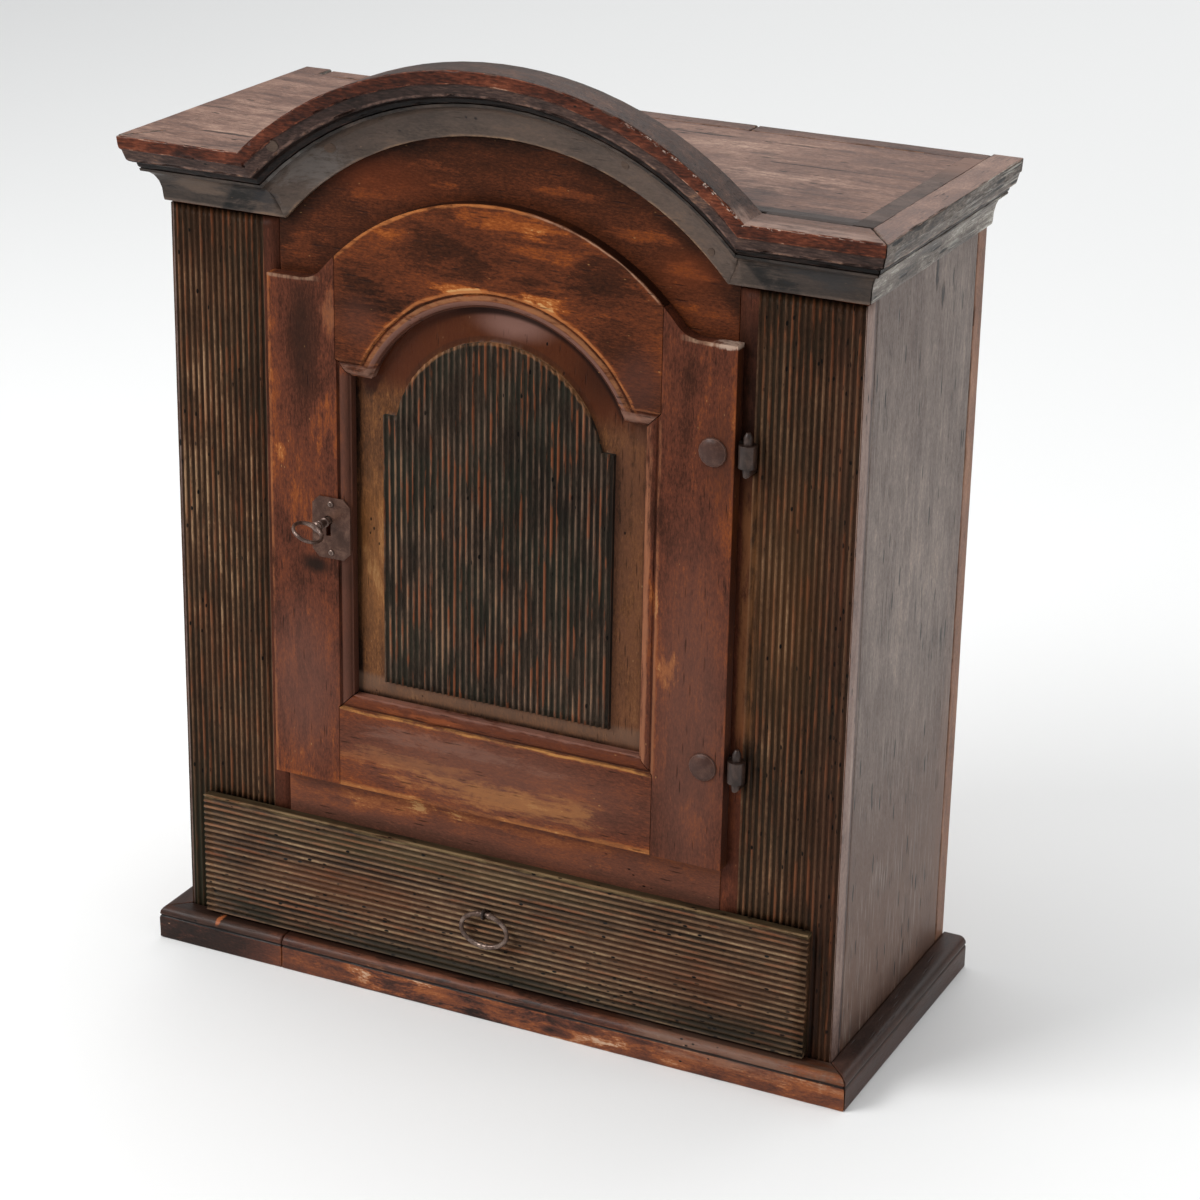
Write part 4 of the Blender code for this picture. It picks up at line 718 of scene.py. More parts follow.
FASCIA_COATS = build_up(TOP_STEPS, (16, 8, 5), (42, 19, 11), (70, 33, 20), (97, 48, 30), (120, 66, 43),
                        (186, 150, 128))
MEMBER_COATS = build_up(TOP_STEPS, (14, 10, 9), (38, 27, 23), (58, 42, 37), (78, 59, 52), (112, 82, 64),
                        (160, 124, 94))
CROWN_TOP_COATS = build_up(TOP_STEPS, (24, 16, 13), (58, 41, 34), (88, 64, 53), (110, 82, 69),
                           (136, 108, 92), (180, 158, 142))
GREY_COATS = ((0.0, (20, 16, 14)), (0.25, (52, 44, 39)), (0.42, (78, 68, 61)), (0.6, (104, 94, 86)),
              (0.78, (136, 129, 120)), (1.0, (186, 184, 174)))
crown_places = (
    ("spot", 0.12, (0.205, -0.152, 0.680), (0.07, 0.03, 0.012)),
    ("spot", -0.15, (-0.10, -0.15, 0.72), (0.10, 0.05, 0.03)),
)
crown_red = crown_finish(
    "crown_red", "X", FASCIA_COATS, MEMBER_COATS, 4.4, crown_places, chip=0.40, patch=0.55, streak=0.25,
    flaked=("x", 0.115, 0.235, 0.02))
crown_top_places = (("line", -0.26, "z", 0.672, 0.76, 0.006),)
# a painted highlight over worn paint on the crown's top near its front edge
crown_top_tints = (
    ("band", 0.5, (164, 136, 122), "y", -0.170, -0.1385, 0.005, "x", 0.16, 0.30, 0.02,
     "z", 0.6, 0.6765, 0.003),
)
crown_top = worn_paint(
    "crown_top", "X", CROWN_TOP_COATS, 0.58, 4.6, crown_top_places, crown_top_tints, patch=0.8, blot=1.0,
    fibre=0.6, pits=0.8, pores=0.6, checks=0.4, gloss=(0.34, 0.55), shine=0.14)
crown_grey = crown_finish(
    "crown_grey", "Y", GREY_COATS, GREY_COATS, 4.9, chip=0.3, patch=1.2, streak=1.3, cracks=0.9)
crown_side_top = worn_paint(
    "crown_side_top", "Y", TOP_COATS, 0.60, 5.2, patch=0.8, blot=0.9, fibre=0.6, pits=0.9, pores=0.6,
    long=0.3, checks=0.5, gloss=(0.36, 0.55), shine=0.35)
UPPER_FACE = 1.5         # the deepest drop of the upper face, in millimetres
BARE_END = -0.19         # the upper face is bare wood to the left of it


def crown_faces(centre, normal):
    return int(normal.z > 0.5 and drop(centre) < UPPER_FACE)


def crown_front_faces(centre, normal):
    return crown_faces(centre, normal) * (2 if centre.x < BARE_END else 1)


crown = aged_copy("crown_front", 0.0014, 0.005, 0.0006, 0.0040, (("drop", drop),))
dress(crown, "red_paint", [crown_red, crown_top, top_wood], crown_front_faces)
for node, upper in (("crown_left", top_wood), ("crown_right", crown_side_top)):
    crown = aged_copy(node, 0.0010, 0.006, 0.0005, 0.0020, (("drop", drop),))
    dress(crown, "worn_wood", [crown_grey, upper], crown_faces)

COVE_COATS = build_up(TOP_STEPS, (14, 12, 10), (38, 32, 28), (65, 54, 47), (87, 72, 63), (106, 84, 68),
                      (150, 120, 90))
cove_places = (
    ("band", -0.22, "z", 0.0, 0.668, 0.004, "|x|", 0.19, 0.4, 0.02),
    ("band", 0.28, "r", 0.233, 0.2375, 0.001),
    ("band", 0.30, "z", 0.612, 0.6172, 0.001, "|x|", 0.18, 0.4, 0.02),
    ("band", -0.35, "r", 0.2585, 0.28, 0.002),
)
cove_tints = (
    ("spot", 0.55, (104, 98, 94), -0.155, 0.655, 0.05, 0.03),
    ("spot", 0.5, (112, 92, 78), -0.255, 0.632, 0.035, 0.012),
    ("spot", 0.6, (34, 34, 37), -0.193, 0.628, 0.016, 0.012),
    ("haze", 0.45, (42, 37, 35), 0.24, 0.636, 0.07, 0.05),
    ("spot", 0.35, (44, 50, 54), 0.245, 0.632, 0.05, 0.015),
    ("spot", 0.9, (10, 8, 7), (-0.2748, -0.1266, 0.6264), (0.007, 0.02, 0.0018)),
    ("spot", 0.9, (14, 11, 10), (-0.0262, -0.1274, 0.7087), (0.0022, 0.02, 0.0022)),
    ("spot", 0.9, (14, 11, 10), (-0.0185, -0.1274, 0.7087), (0.0022, 0.02, 0.0022)),
)
cove_paint = worn_paint(
    "cove_paint", "X", COVE_COATS, 0.55, 9.2, cove_places, cove_tints, edge=0.3, patch=0.7, blot=0.4,
    streak=0.3, flake=0.05, pits=0.2, shine=0.2)
MITRE = (0.165, 0.222)


def at_mitre(co):
    return MITRE[0] < abs(co.x) < MITRE[1]


for node in ("cove_arch", "cove_front_left", "cove_front_right"):
    dress(aged_copy(node, 0.0003, 0.010, 0.0003, 0.0010, spare=at_mitre), "cove_paint", [cove_paint])
cove_grey = worn_paint(
    "cove_grey", "Y", GREY_COATS, 0.58, 9.9, patch=1.2, blot=1.3, streak=1.5, fibre=0.8, pits=1.2,
    pores=0.9, long=0.14, wide=1.5, checks=0.8, pale=(158, 155, 146), shine=0.25)
for node in ("cove_left", "cove_right"):
    dress(aged_copy(node, 0.0008, 0.008, 0.0003, 0.0014), "cove_paint", [cove_grey])

# Pegs: oak pins that hold the cornice to the front, cut off flush, their end grain a little proud now
# that the softer wood round them has worn.
peg_end = worn_paint("peg_end", "X", COVE_COATS, 0.56, 9.6, edge=-0.5, patch=0.4, pits=0.3, pores=0.6)


def peg(name, place, normal, radius):
    outward = Vector(normal).normalized()
    length, proud, arris = 0.006, 0.0003, 0.0004
    bm = bmesh.new()
    bmesh.ops.create_cone(bm, cap_ends=True, segments=20, radius1=radius * 0.9, radius2=radius, depth=length)
    rim = [e for e in bm.edges if all(v.co.z > 0 for v in e.verts)]
    bmesh.ops.bevel(bm, geom=rim, offset=arris, offset_type="OFFSET", segments=2, profile=0.5, affect="EDGES",
                    material=-1)
    lean = Vector((0, 0, 1)).rotation_difference(outward).to_matrix()
    bmesh.ops.rotate(bm, verts=bm.verts, cent=(0, 0, 0), matrix=lean)
    bmesh.ops.translate(bm, verts=bm.verts, vec=Vector(place) - outward * (length / 2 - proud))
    dress(settle(name, bm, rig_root), "worn_wood", [peg_end])


peg("peg_crown_left", (-0.172, -0.151, 0.6753), (0.2, -0.95, -0.26), 0.0048)
peg("peg_cove_left", (-0.1364, -0.1293, 0.6736), (0.29, -0.84, -0.46), 0.0046)
peg("peg_cove_right", (0.0988, -0.1276, 0.6901), (-0.12, -0.95, -0.29), 0.0034)
peg("peg_cove_low", (0.1649, -0.1256, 0.6366), (-0.07, -0.99, -0.08), 0.0030)


# Plinth: grooved strips with a rounded top, nailed round the foot and mitred at the front corners.
# The front is in two lengths, with a butt joint to the left of the door.
PLINTH_COATS = ((0.0, (16, 11, 9)), (0.22, (44, 27, 21)), (0.42, (80, 46, 35)), (0.6, (112, 62, 40)),
                (0.78, (148, 84, 46)), (0.9, (170, 118, 84)), (1.0, (196, 160, 132)))
# darker in the groove: painted shade
PLINTH_GROOVE = ("band", -0.30, "z", 0.0185, 0.0212, 0.0008)
plinth_places = (
    ("spot", 0.30, 0.0, 0.010, 0.15, 0.03), ("spot", 0.06, 0.19, 0.012, 0.07, 0.02),
    ("band", -0.18, "x", -0.31, -0.19, 0.02), ("spot", -0.4, 0.06, 0.006, 0.02, 0.006), PLINTH_GROOVE,
)
plinth_tints = (
    ("band", 0.75, (62, 42, 33), "z", 0.0205, 0.05, 0.002),
    ("spot", 0.55, (126, 98, 84), (0.20, -0.13, 0.027), (0.14, 0.1, 0.02)),
    ("spot", 0.6, (120, 72, 52), (-0.02, -0.136, 0.0262), (0.22, 0.012, 0.0022)),
    # painted shade in the groove
    ("line", 0.90, (14, 8, 6), "z", 0.0188, 0.0210, 0.0005),
    ("line", 0.70, (26, 17, 13), "y", -0.1338, 0.0, 0.0014, "z", 0.022, 0.05, 0.001),
    ("spot", 0.9, (164, 92, 52), (-0.245, -0.1354, 0.0275), (0.003, 0.01, 0.01)),
)
plinth_red = worn_paint(
    "plinth_red", "X", PLINTH_COATS, 0.50, 12.1, plinth_places, plinth_tints, edge=0.25, patch=1.5,
    blot=1.1, streak=0.5, fibre=0.5, flake=0.14, pits=0.6, gloss=(0.26, 0.5), shine=0.2, front=-0.14)
return_tints = (("band", 0.5, (58, 44, 37), "z", -0.1, 0.1, 0.01),)
plinth_side = worn_paint(
    "plinth_side", "Y", PLINTH_COATS, 0.24, 12.9, (PLINTH_GROOVE,), return_tints, patch=0.5, pits=0.6,
    gloss=(0.26, 0.5), shine=0.2)
for node in ("plinth_front_left", "plinth_front_right", "plinth_left", "plinth_right"):
    length = aged_copy(node, 0.0010, 0.015, 0.0003, 0.0008)
    dress(length, "red_paint", [plinth_red if "front" in node else plinth_side])


# Door: a mortised frame with a moulded inner edge round a panel with a raised, reeded field.
# The red-brown paint is rubbed to orange wood where hands and cloths reach it.
DOOR_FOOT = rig.box("door_stile_left")[0][2]
DOOR_EDGE = -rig.box("door_stile_left")[0][0]
DOOR_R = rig.box("door_top_rail")[1][2] - ARCH_Z
SIGHT_HALF = 0.121       # panel opening: half width, foot and arch
SIGHT_FOOT = 0.247
SIGHT_R = 0.1127
MOULD_W = 0.012
level_places = (
    ("spot", -0.24, -0.105, 0.573, 0.052, 0.040), ("spot", -0.24, -0.0434, 0.6088, 0.064, 0.030),
    ("spot", -0.24, 0.0856, 0.601, 0.044, 0.028), ("spot", -0.18, -0.085, 0.567, 0.05, 0.02),
    ("spot", -0.20, 0.0273, 0.5973, 0.020, 0.008), ("spot", -0.16, 0.1008, 0.5608, 0.040, 0.030),
    ("spot", 0.20, 0.0077, 0.6373, 0.085, 0.013), ("spot", 0.16, 0.0357, 0.6211, 0.045, 0.018),
    ("spot", 0.24, -0.0861, 0.617, 0.028, 0.009), ("spot", 0.34, 0.0398, 0.5864, 0.038, 0.011),
    ("spot", 0.30, -0.033, 0.5832, 0.035, 0.006), ("spot", 0.14, -0.10, 0.545, 0.02, 0.02),
    ("band", 0.20, "r", SIGHT_R + MOULD_W - 0.001, SIGHT_R + MOULD_W + 0.0025, 0.0012, "z", 0.5, 1.0, 0.01),
)
SHOULDER_Z = 0.574
# front arris of the door's edge
DOOR_RIM = ("y", -0.2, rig.box("door_stile_left")[0][1] + 0.0012, 0.0006)
ARCH_BEAD = ("z", 0.5135, 1.0, 0.003)      # where the moulding runs in the arch, and out to its ears
BEAD_EARS = ("|x|", 0.098, 0.134, 0.002)
level_tints = (
    ("haze", 0.60, (76, 47, 39), 0.115, 0.535, 0.035, 0.045),
    ("haze", 0.45, (82, 50, 40), -0.112, 0.548, 0.035, 0.035),
    # painted shade on the fillet under the bead
    ("line", 0.75, (66, 42, 34), "r", SIGHT_R - 0.001, SIGHT_R + 0.0016, 0.0005, *ARCH_BEAD),
    ("line", 0.75, (118, 86, 76), "r", SIGHT_R + 0.0018, SIGHT_R + 0.0054, 0.0006, *ARCH_BEAD),
    ("band", 0.75, (146, 98, 66), "r", SIGHT_R + 0.0056, SIGHT_R + 0.0088, 0.0006, *ARCH_BEAD),
    ("line", 0.45, (70, 40, 26), "r", SIGHT_R + 0.0092, SIGHT_R + 0.0110, 0.0005, *ARCH_BEAD),
    ("band", 0.85, (166, 102, 58), "r", SIGHT_R + 0.0110, SIGHT_R + 0.0132, 0.0006, *ARCH_BEAD),
    ("band", 0.75, (130, 98, 84), "z", 0.5045, 0.5125, 0.0008, *BEAD_EARS),
    ("band", 0.75, (150, 92, 58), "z", 0.5150, 0.5168, 0.0006, *BEAD_EARS),
    # painted shade on the arch's edge face, in the gap beside the frame
    ("line", 0.85, (36, 20, 14), "r", DOOR_R - 0.0008, 1.0, 0.0004, "y", -0.1302, 0.0, 0.0006),
    ("band", 0.90, (172, 106, 58), "r", DOOR_R - 0.0022, DOOR_R + 0.002, 0.0007, "x", -0.20, 0.030, 0.012,
     *DOOR_RIM),
    ("band", 0.70, (172, 132, 106), "r", DOOR_R - 0.0012, DOOR_R + 0.002, 0.0005,
     "x", 0.030, 0.135, 0.012, *DOOR_RIM),
)
door_level = worn_paint(
    "door_level", "X", WARM_COATS, 0.53, 15.8, level_places, level_tints, fibre=0.6, pores=0.6)
low_places = (
    ("spot", 0.14, -0.0359, 0.1864, 0.11, 0.018), ("spot", 0.12, 0.04, 0.196, 0.07, 0.012),
    ("band", 0.15, "z", SIGHT_FOOT - MOULD_W - 0.0025, SIGHT_FOOT - MOULD_W + 0.001, 0.0012,
     "|x|", 0.0, 0.125, 0.01),
    ("band", 0.15, "z", DOOR_FOOT - 0.001, DOOR_FOOT + 0.0035, 0.0016),
    ("spot", -0.14, 0.10, 0.19, 0.04, 0.02), ("spot", -0.10, -0.11, 0.215, 0.05, 0.02),
    ("spot", 0.12, -0.09, 0.195, 0.06, 0.012),
)
LOW_BEAD = ("|x|", 0.0, 0.134, 0.004)      # where the moulding runs along the foot
low_tints = (
    ("haze", 0.55, (108, 74, 62), 0.0, 0.205, 0.24, 0.06),
    ("spot", 0.65, (150, 102, 64), 0.0, 0.188, 0.13, 0.018),
    ("spot", 0.5, (138, 92, 62), -0.07, 0.200, 0.09, 0.012),
    ("spot", 0.45, (122, 90, 78), -0.03, 0.221, 0.13, 0.010),
    ("band", 0.5, (156, 104, 62), "z", DOOR_FOOT - 0.001, DOOR_FOOT + 0.0035, 0.0012),
    ("band", 0.85, (182, 128, 72), "z", SIGHT_FOOT - 0.0132, SIGHT_FOOT - 0.0110, 0.0006, *LOW_BEAD),
    ("line", 0.65, (44, 23, 15), "z", SIGHT_FOOT - 0.0110, SIGHT_FOOT - 0.0093, 0.0004, *LOW_BEAD),
    ("line", 0.60, (86, 44, 28), "z", SIGHT_FOOT - 0.0093, SIGHT_FOOT - 0.0015, 0.0006, *LOW_BEAD),
    ("band", 0.50, (140, 104, 92), "z", SIGHT_FOOT - 0.0016, SIGHT_FOOT + 0.001, 0.0005, *LOW_BEAD),
    ("spot", 0.50, (146, 78, 44), -0.06, SIGHT_FOOT - 0.006, 0.05, 0.005),
)
door_low = worn_paint(
    "door_low", "X", RED_COATS, 0.60, 15.2, low_places, low_tints, blot=0.6, fibre=0.6, pores=0.6)
upright_places = (
    ("band", 0.24, "x", -DOOR_EDGE - 0.002, -DOOR_EDGE + 0.006, 0.005, "z", 0.40, 0.58, 0.03),
    ("band", 0.14, "x", -DOOR_EDGE - 0.002, -DOOR_EDGE + 0.0022, 0.0012),
    ("band", 0.12, "x", -DOOR_EDGE - 0.002, -DOOR_EDGE + 0.02, 0.01, "z", 0.15, 0.33, 0.05),
    ("spot", 0.18, -0.1361, 0.4598, 0.022, 0.040), ("spot", 0.16, -0.1345, 0.5536, 0.014, 0.045),
    ("spot", -0.16, -0.163, 0.52, 0.018, 0.08), ("spot", -0.28, -0.128, 0.345, 0.02, 0.02),
    ("spot", 0.30, -0.1818, 0.4349, 0.006, 0.010), ("spot", 0.14, -0.165, 0.39, 0.02, 0.03),
    ("spot", 0.26, 0.1456, 0.3206, 0.012, 0.022), ("spot", 0.24, 0.132, 0.374, 0.006, 0.02),
    ("band", 0.16, "x", SIGHT_HALF + MOULD_W - 0.001, SIGHT_HALF + MOULD_W + 0.0022, 0.0012,
     "z", 0.235, 0.50, 0.01),
    ("band", 0.12, "x", DOOR_EDGE - 0.0025, DOOR_EDGE + 0.002, 0.0015),
    ("band", 0.1, "z", DOOR_FOOT - 0.001, DOOR_FOOT + 0.003, 0.0016),
    ("spot", 0.12, 0.165, 0.20, 0.02, 0.03),
)
BEAD_UP = ("z", 0.238, 0.505, 0.002)       # where the moulding runs up the stiles, and its groove
QUIRK_UP = ("z", 0.236, 0.51, 0.002)
upright_tints = (
    # painted shade on the door's right edge face, in the gap beside the frame
    ("line", 0.75, (14, 7, 5), "x", 0.1896, 0.2, 0.0005, "y", -0.1312, 0.0, 0.0008),
    ("haze", 0.50, (64, 39, 30), 0.181, 0.49, 0.022, 0.07),
    ("line", 0.70, (82, 54, 44), "x", -SIGHT_HALF - 0.009, -SIGHT_HALF + 0.001, 0.0008, *BEAD_UP),
    ("line", 0.65, (46, 26, 18), "x", -SIGHT_HALF - 0.0110, -SIGHT_HALF - 0.0092, 0.0005, *QUIRK_UP),
    ("band", 0.75, (150, 98, 70), "x", SIGHT_HALF - 0.001, SIGHT_HALF + 0.0055, 0.0008, *BEAD_UP),
    ("band", 0.40, (84, 50, 34), "x", SIGHT_HALF + 0.0092, SIGHT_HALF + 0.0110, 0.0005, *QUIRK_UP),
    ("band", 0.70, (142, 92, 62), "x", SIGHT_HALF + 0.0110, SIGHT_HALF + 0.0130, 0.0006,
     "z", 0.234, 0.51, 0.002),
    ("band", 0.75, (152, 120, 98), "z", SHOULDER_Z - 0.0020, SHOULDER_Z + 0.002, 0.0007,
     "|x|", 0.150, 0.20, 0.006, *DOOR_RIM),
    ("spot", 0.75, (186, 160, 142), 0.183, SHOULDER_Z - 0.001, 0.016, 0.0035),
    ("band", 0.6, (146, 92, 58), "x", -0.20, -0.1885, 0.0006, *DOOR_RIM),
    ("haze", 0.50, (104, 72, 62), 0.162, 0.28, 0.06, 0.26),
    ("haze", 0.45, (110, 76, 66), -0.165, 0.25, 0.06, 0.12),
    ("haze", 0.95, (32, 22, 17), -0.152, 0.350, 0.024, 0.014),
    ("haze", 0.60, (44, 27, 20), -0.160, 0.53, 0.022, 0.08),
    ("spot", 0.35, (122, 88, 68), -0.1294, 0.5506, 0.022, 0.035),
    ("spot", 0.5, (146, 92, 58), 0.1456, 0.3206, 0.010, 0.020),
)
door_upright = worn_paint(
    "door_upright", "Z", RED_COATS, 0.49, 14.5, upright_places, upright_tints, blot=0.6, fibre=0.6,
    pores=0.6)
for node, paint, chips in (("door_stile_left", door_upright, 0.0005),
                           ("door_stile_right", door_upright, 0.0016),
                           ("door_top_rail", door_level, 0.0005), ("door_bottom_rail", door_low, 0.0005)):
    dress(aged_copy(node, 0.0008, 0.014, 0.0002, chips), "red_paint", [paint])

door_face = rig.box("door_stile_left")[0][1]
FIELD_TOP = door_face + 0.0045
PANEL_COATS = build_up(REED_STEPS, (14, 10, 8), (36, 28, 22), (54, 43, 34), (76, 60, 49), (92, 73, 60),
                       (108, 85, 68), (134, 102, 78))
field_places = (
    ("spot", -0.25, 0.0, 0.52, 0.10, 0.06), ("spot", 0.14, -0.02, 0.33, 0.10, 0.09),
    ("spot", 0.2, -0.088, 0.36, 0.012, 0.12),
    ("band", 0.30, "r", 0.0840, 0.0900, 0.0008, "z", 0.505, 0.6, 0.005),
)
field_tints = (
    ("band", 0.50, (160, 108, 70), "r", 0.0838, 0.0900, 0.0008, "z", 0.505, 0.6, 0.005),
    # painted shadow along the field's right end
    ("line", 0.80, (24, 18, 14), "x", 0.0925, 0.1000, 0.0008, "z", 0.262, 0.51, 0.004),
)
panel_reeds = worn_reeds(
    "panel_reeds", "Z", PANEL_COATS, 0.31, 0.62, 16.3, field_places, field_tints, 0.25, 1.0, green=0.40,
    rust=0.65, lane_share=1.8, pits=0.7, blot=1.2, cloudy=0.6, run=0.14)
MARGIN_COATS = ((0.0, (16, 10, 8)), (0.22, (48, 31, 21)), (0.42, (86, 54, 33)), (0.6, (116, 74, 42)),
                (0.78, (146, 104, 64)), (1.0, (182, 146, 104)))
margin_places = (
    # the first three: painted shade along the margin under the moulding
    ("band", -0.45, "|x|", SIGHT_HALF - 0.0035, 0.14, 0.0018, "z", 0.0, 0.505, 0.01),
    ("band", -0.45, "r", SIGHT_R - 0.0035, 0.14, 0.0018, "z", 0.49, 0.7, 0.01),
    ("band", -0.35, "z", 0.2, SIGHT_FOOT + 0.003, 0.0018),
    ("spot", 0.20, (-0.1001, -0.13, 0.3748), (0.02, 0.1, 0.09)),
    ("spot", -0.14, (0.09, -0.13, 0.40), (0.03, 0.1, 0.16)),
)
margin_tints = (
    ("line", 0.90, (72, 33, 16), "r", 0.085, 0.125, 0.006, "z", 0.497, 0.70, 0.012),
    # painted sheen near the top of the arch
    ("haze", 0.70, (132, 98, 88), 0.012, 0.562, 0.055, 0.022),
    ("haze", 0.7, (46, 22, 12), 0.085, 0.535, 0.045, 0.040),
    # painted shadow under the bead, on the right and at the top
    ("line", 0.85, (26, 11, 7), "r", 0.1062, 0.125, 0.0016, "x", -0.040, 0.14, 0.03, "z", 0.503, 0.70, 0.004),
    ("line", 0.45, (54, 30, 20), "r", 0.0865, 0.0900, 0.0008, "z", 0.503, 0.70, 0.004),
    ("band", 0.55, (104, 66, 47), "x", 0.09, 0.13, 0.006, "z", 0.24, 0.51, 0.01),
    ("line", 0.60, (110, 85, 70), "z", 0.2495, 0.264, 0.003),
    ("haze", 0.4, (134, 88, 50), -0.105, 0.36, 0.03, 0.14),
)
panel_margin = worn_paint(
    "panel_margin", "Z", MARGIN_COATS, 0.46, 16.9, margin_places, margin_tints, edge=0.1, patch=0.7,
    blot=0.7, streak=0.6, fibre=0.6, pits=0.3, pores=0.6, gloss=(0.22, 0.44), shine=0.07, front=-0.12)


def panel_faces(centre, normal):
    if normal.y > 0.6:
        return 2
    return int(centre.y > FIELD_TOP + REED_DEPTH + 0.0004)


panel = aged_copy("door_panel", 0.0, 0.010, 0.0002, 0.0, (("ridge", reed_height(FIELD_TOP)),))
dress(panel, "reeded_paint", [panel_reeds, panel_margin, raw_back], panel_faces)


# Iron: straps with rolled eyes, pintles, clenched rivets, lock plate, lock and staple. All are forged by
# hand, so their faces are dimpled; the iron is dark brown and polished on the high places.
def forged(name, dark, bright, seed, metal, gloss=(0.30, 0.52), shine=0.5):
    r = Finish(name, shine)
    r.shader.inputs["Metallic"].default_value = metal
    dimple = r.cloud(r.along("X", 1.0, seed), 240.0, 3.0, 0.5)
    bloom = r.cloud(r.place, 120.0, 6.0, 0.65, 0.4)
    grit = r.cloud(r.place, 1400.0, 2.0, 0.5)
    high = r.total(0.0, (bloom, 0.8), (r.mark("arris"), 0.4), (grit, 0.2))
    colour = r.lay(tone(*dark), bright, r.step(high, 0.40, 0.86))
    return r.finish(colour, r.sheen(bloom, *reversed(gloss)), r.total(0.0, (dimple, 0.8), (grit, 0.2)),
                    0.0006)


iron = forged("iron", (40, 27, 22), (92, 69, 58), 21.0, 0.3)
for node in ("hinge_strap_lower", "hinge_strap_upper", "pintle_lower", "pintle_upper", "lock_case",
             "lock_bolt", "bolt_keeper", "ring_staple"):
    dress(aged_copy(node, 0.0004, 0.006, 0.00015), "iron", [iron])
plate_iron = forged("plate_iron", (66, 44, 35), (118, 88, 74), 21.6, 0.0, (0.30, 0.50), 0.15)
dress(aged_copy("escutcheon", 0.0005, 0.004, 0.0003), "iron", [plate_iron])
nail_iron = forged("nail_iron", (70, 52, 45), (150, 128, 116), 22.4, 0.5, (0.24, 0.40))
for node in ("escutcheon_nail_lower", "escutcheon_nail_upper"):
    dress(aged_copy(node, 0.0004, 0.002, 0.00015), "iron", [nail_iron])
painted_iron = forged("painted_iron", (64, 41, 34), (106, 76, 64), 23.0, 0.0, (0.30, 0.48), 0.2)
for node in ("hinge_rivet_lower", "hinge_rivet_upper"):
    dress(aged_copy(node, 0.0004, 0.003, 0.0006), "iron", [painted_iron])


# Key: a turned shank with beads, an oval bow at its end and a flat bit in the lock, forged in one.
# Its ring of wire is thicker where it grows out of the shank.
def oval_wire(bm, centre, across, along, half_across, half_along, thickness):
    """Wire bent to an oval and welded; thickness is the wire's radius at an angle."""
    thin = 0.1
    start = bmesh.ops.create_circle(bm, segments=12, radius=thin)["verts"]
    bmesh.ops.translate(bm, verts=start, vec=(1.0, 0.0, 0.0))
    section = start + list({e for v in start for e in v.link_edges})
    bmesh.ops.spin(bm, geom=section, cent=(0, 0, 0), axis=(0, 1, 0), dvec=(0, 0, 0), angle=2 * math.pi,
                   steps=84, use_merge=True)
    third = across.cross(along)
    for v in [v for v in bm.verts if v.is_valid and not v.tag]:
        angle = math.atan2(v.co.z, v.co.x)
        outward = across * (half_along * math.cos(angle)) + along * (half_across * math.sin(angle))
        outward.normalize()
        size = thickness(angle) / thin
        line = across * (half_across * math.cos(angle)) + along * (half_along * math.sin(angle))
        v.co = centre + line + outward * (math.hypot(v.co.x, v.co.z) - 1) * size + third * v.co.y * size
        v.tag = True


def swell(angle, place, width):
    """Share of a swelling in the wire at an angle, one at its place."""
    away = (angle - place + math.pi) % (2 * math.pi) - math.pi
    return math.exp(-(away / width) ** 2)


KEY_X, KEY_Z = -0.1395, 0.388      # the key's axis
key_low, key_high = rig.box("key")
BOW_ACROSS, BOW_ALONG = 0.0112, 0.0118
bow_y = key_low.y + BOW_ALONG + 0.0015
key_lean = math.radians(27)
BIT = (0.0076, 0.0058, 0.0024)
bow_across = Vector((math.cos(key_lean), 0.0, -math.sin(key_lean)))
bm = bmesh.new()
oval_wire(bm, Vector((KEY_X, bow_y, KEY_Z)), bow_across, Vector((0.0, 1.0, 0.0)), BOW_ACROSS, BOW_ALONG,
          lambda a: 0.0014 + 0.0008 * swell(a, math.pi / 2, 0.6))
shank_end = key_high.y - bow_y - BOW_ALONG
shank = [(0.0, 0.0), (0.0024, 0.0), (0.0030, 0.0008), (0.0042, 0.0012), (0.0043, 0.0026), (0.0031, 0.0032),
         (0.0029, 0.0042), (0.0037, 0.0048), (0.0037, 0.0058), (0.0029, 0.0064), (0.0028, 0.0120),
         (0.0037, 0.0126), (0.0037, 0.0140), (0.0029, 0.0146), (0.0029, shank_end), (0.0, shank_end)]
outline = [bm.verts.new((KEY_X + radius, bow_y + BOW_ALONG + out, KEY_Z)) for radius, out in shank]
outline += [bm.edges.new(pair) for pair in zip(outline, outline[1:])]
bmesh.ops.spin(
    bm, geom=outline, cent=(KEY_X, 0, KEY_Z), axis=(0, 1, 0), dvec=(0, 0, 0), angle=2 * math.pi, steps=20,
    use_merge=True)
bit = bmesh.ops.create_cube(bm, size=1.0)["verts"]
bmesh.ops.scale(bm, verts=bit, vec=BIT)
bmesh.ops.rotate(bm, verts=bit, cent=(0, 0, 0), matrix=Matrix.Rotation(key_lean, 3, "Y"))
bmesh.ops.translate(bm, verts=bit, vec=Vector((KEY_X, key_high.y - 0.0033, KEY_Z)) + bow_across * 0.0041)
bmesh.ops.remove_doubles(bm, verts=bm.verts, dist=1e-6)
bmesh.ops.recalc_face_normals(bm, faces=bm.faces)
key_iron = forged("key_iron", (76, 57, 49), (184, 156, 142), 21.9, 0.5, (0.22, 0.42))
dress(settle("turned_key", bm, "key", "key"), "iron", [key_iron])


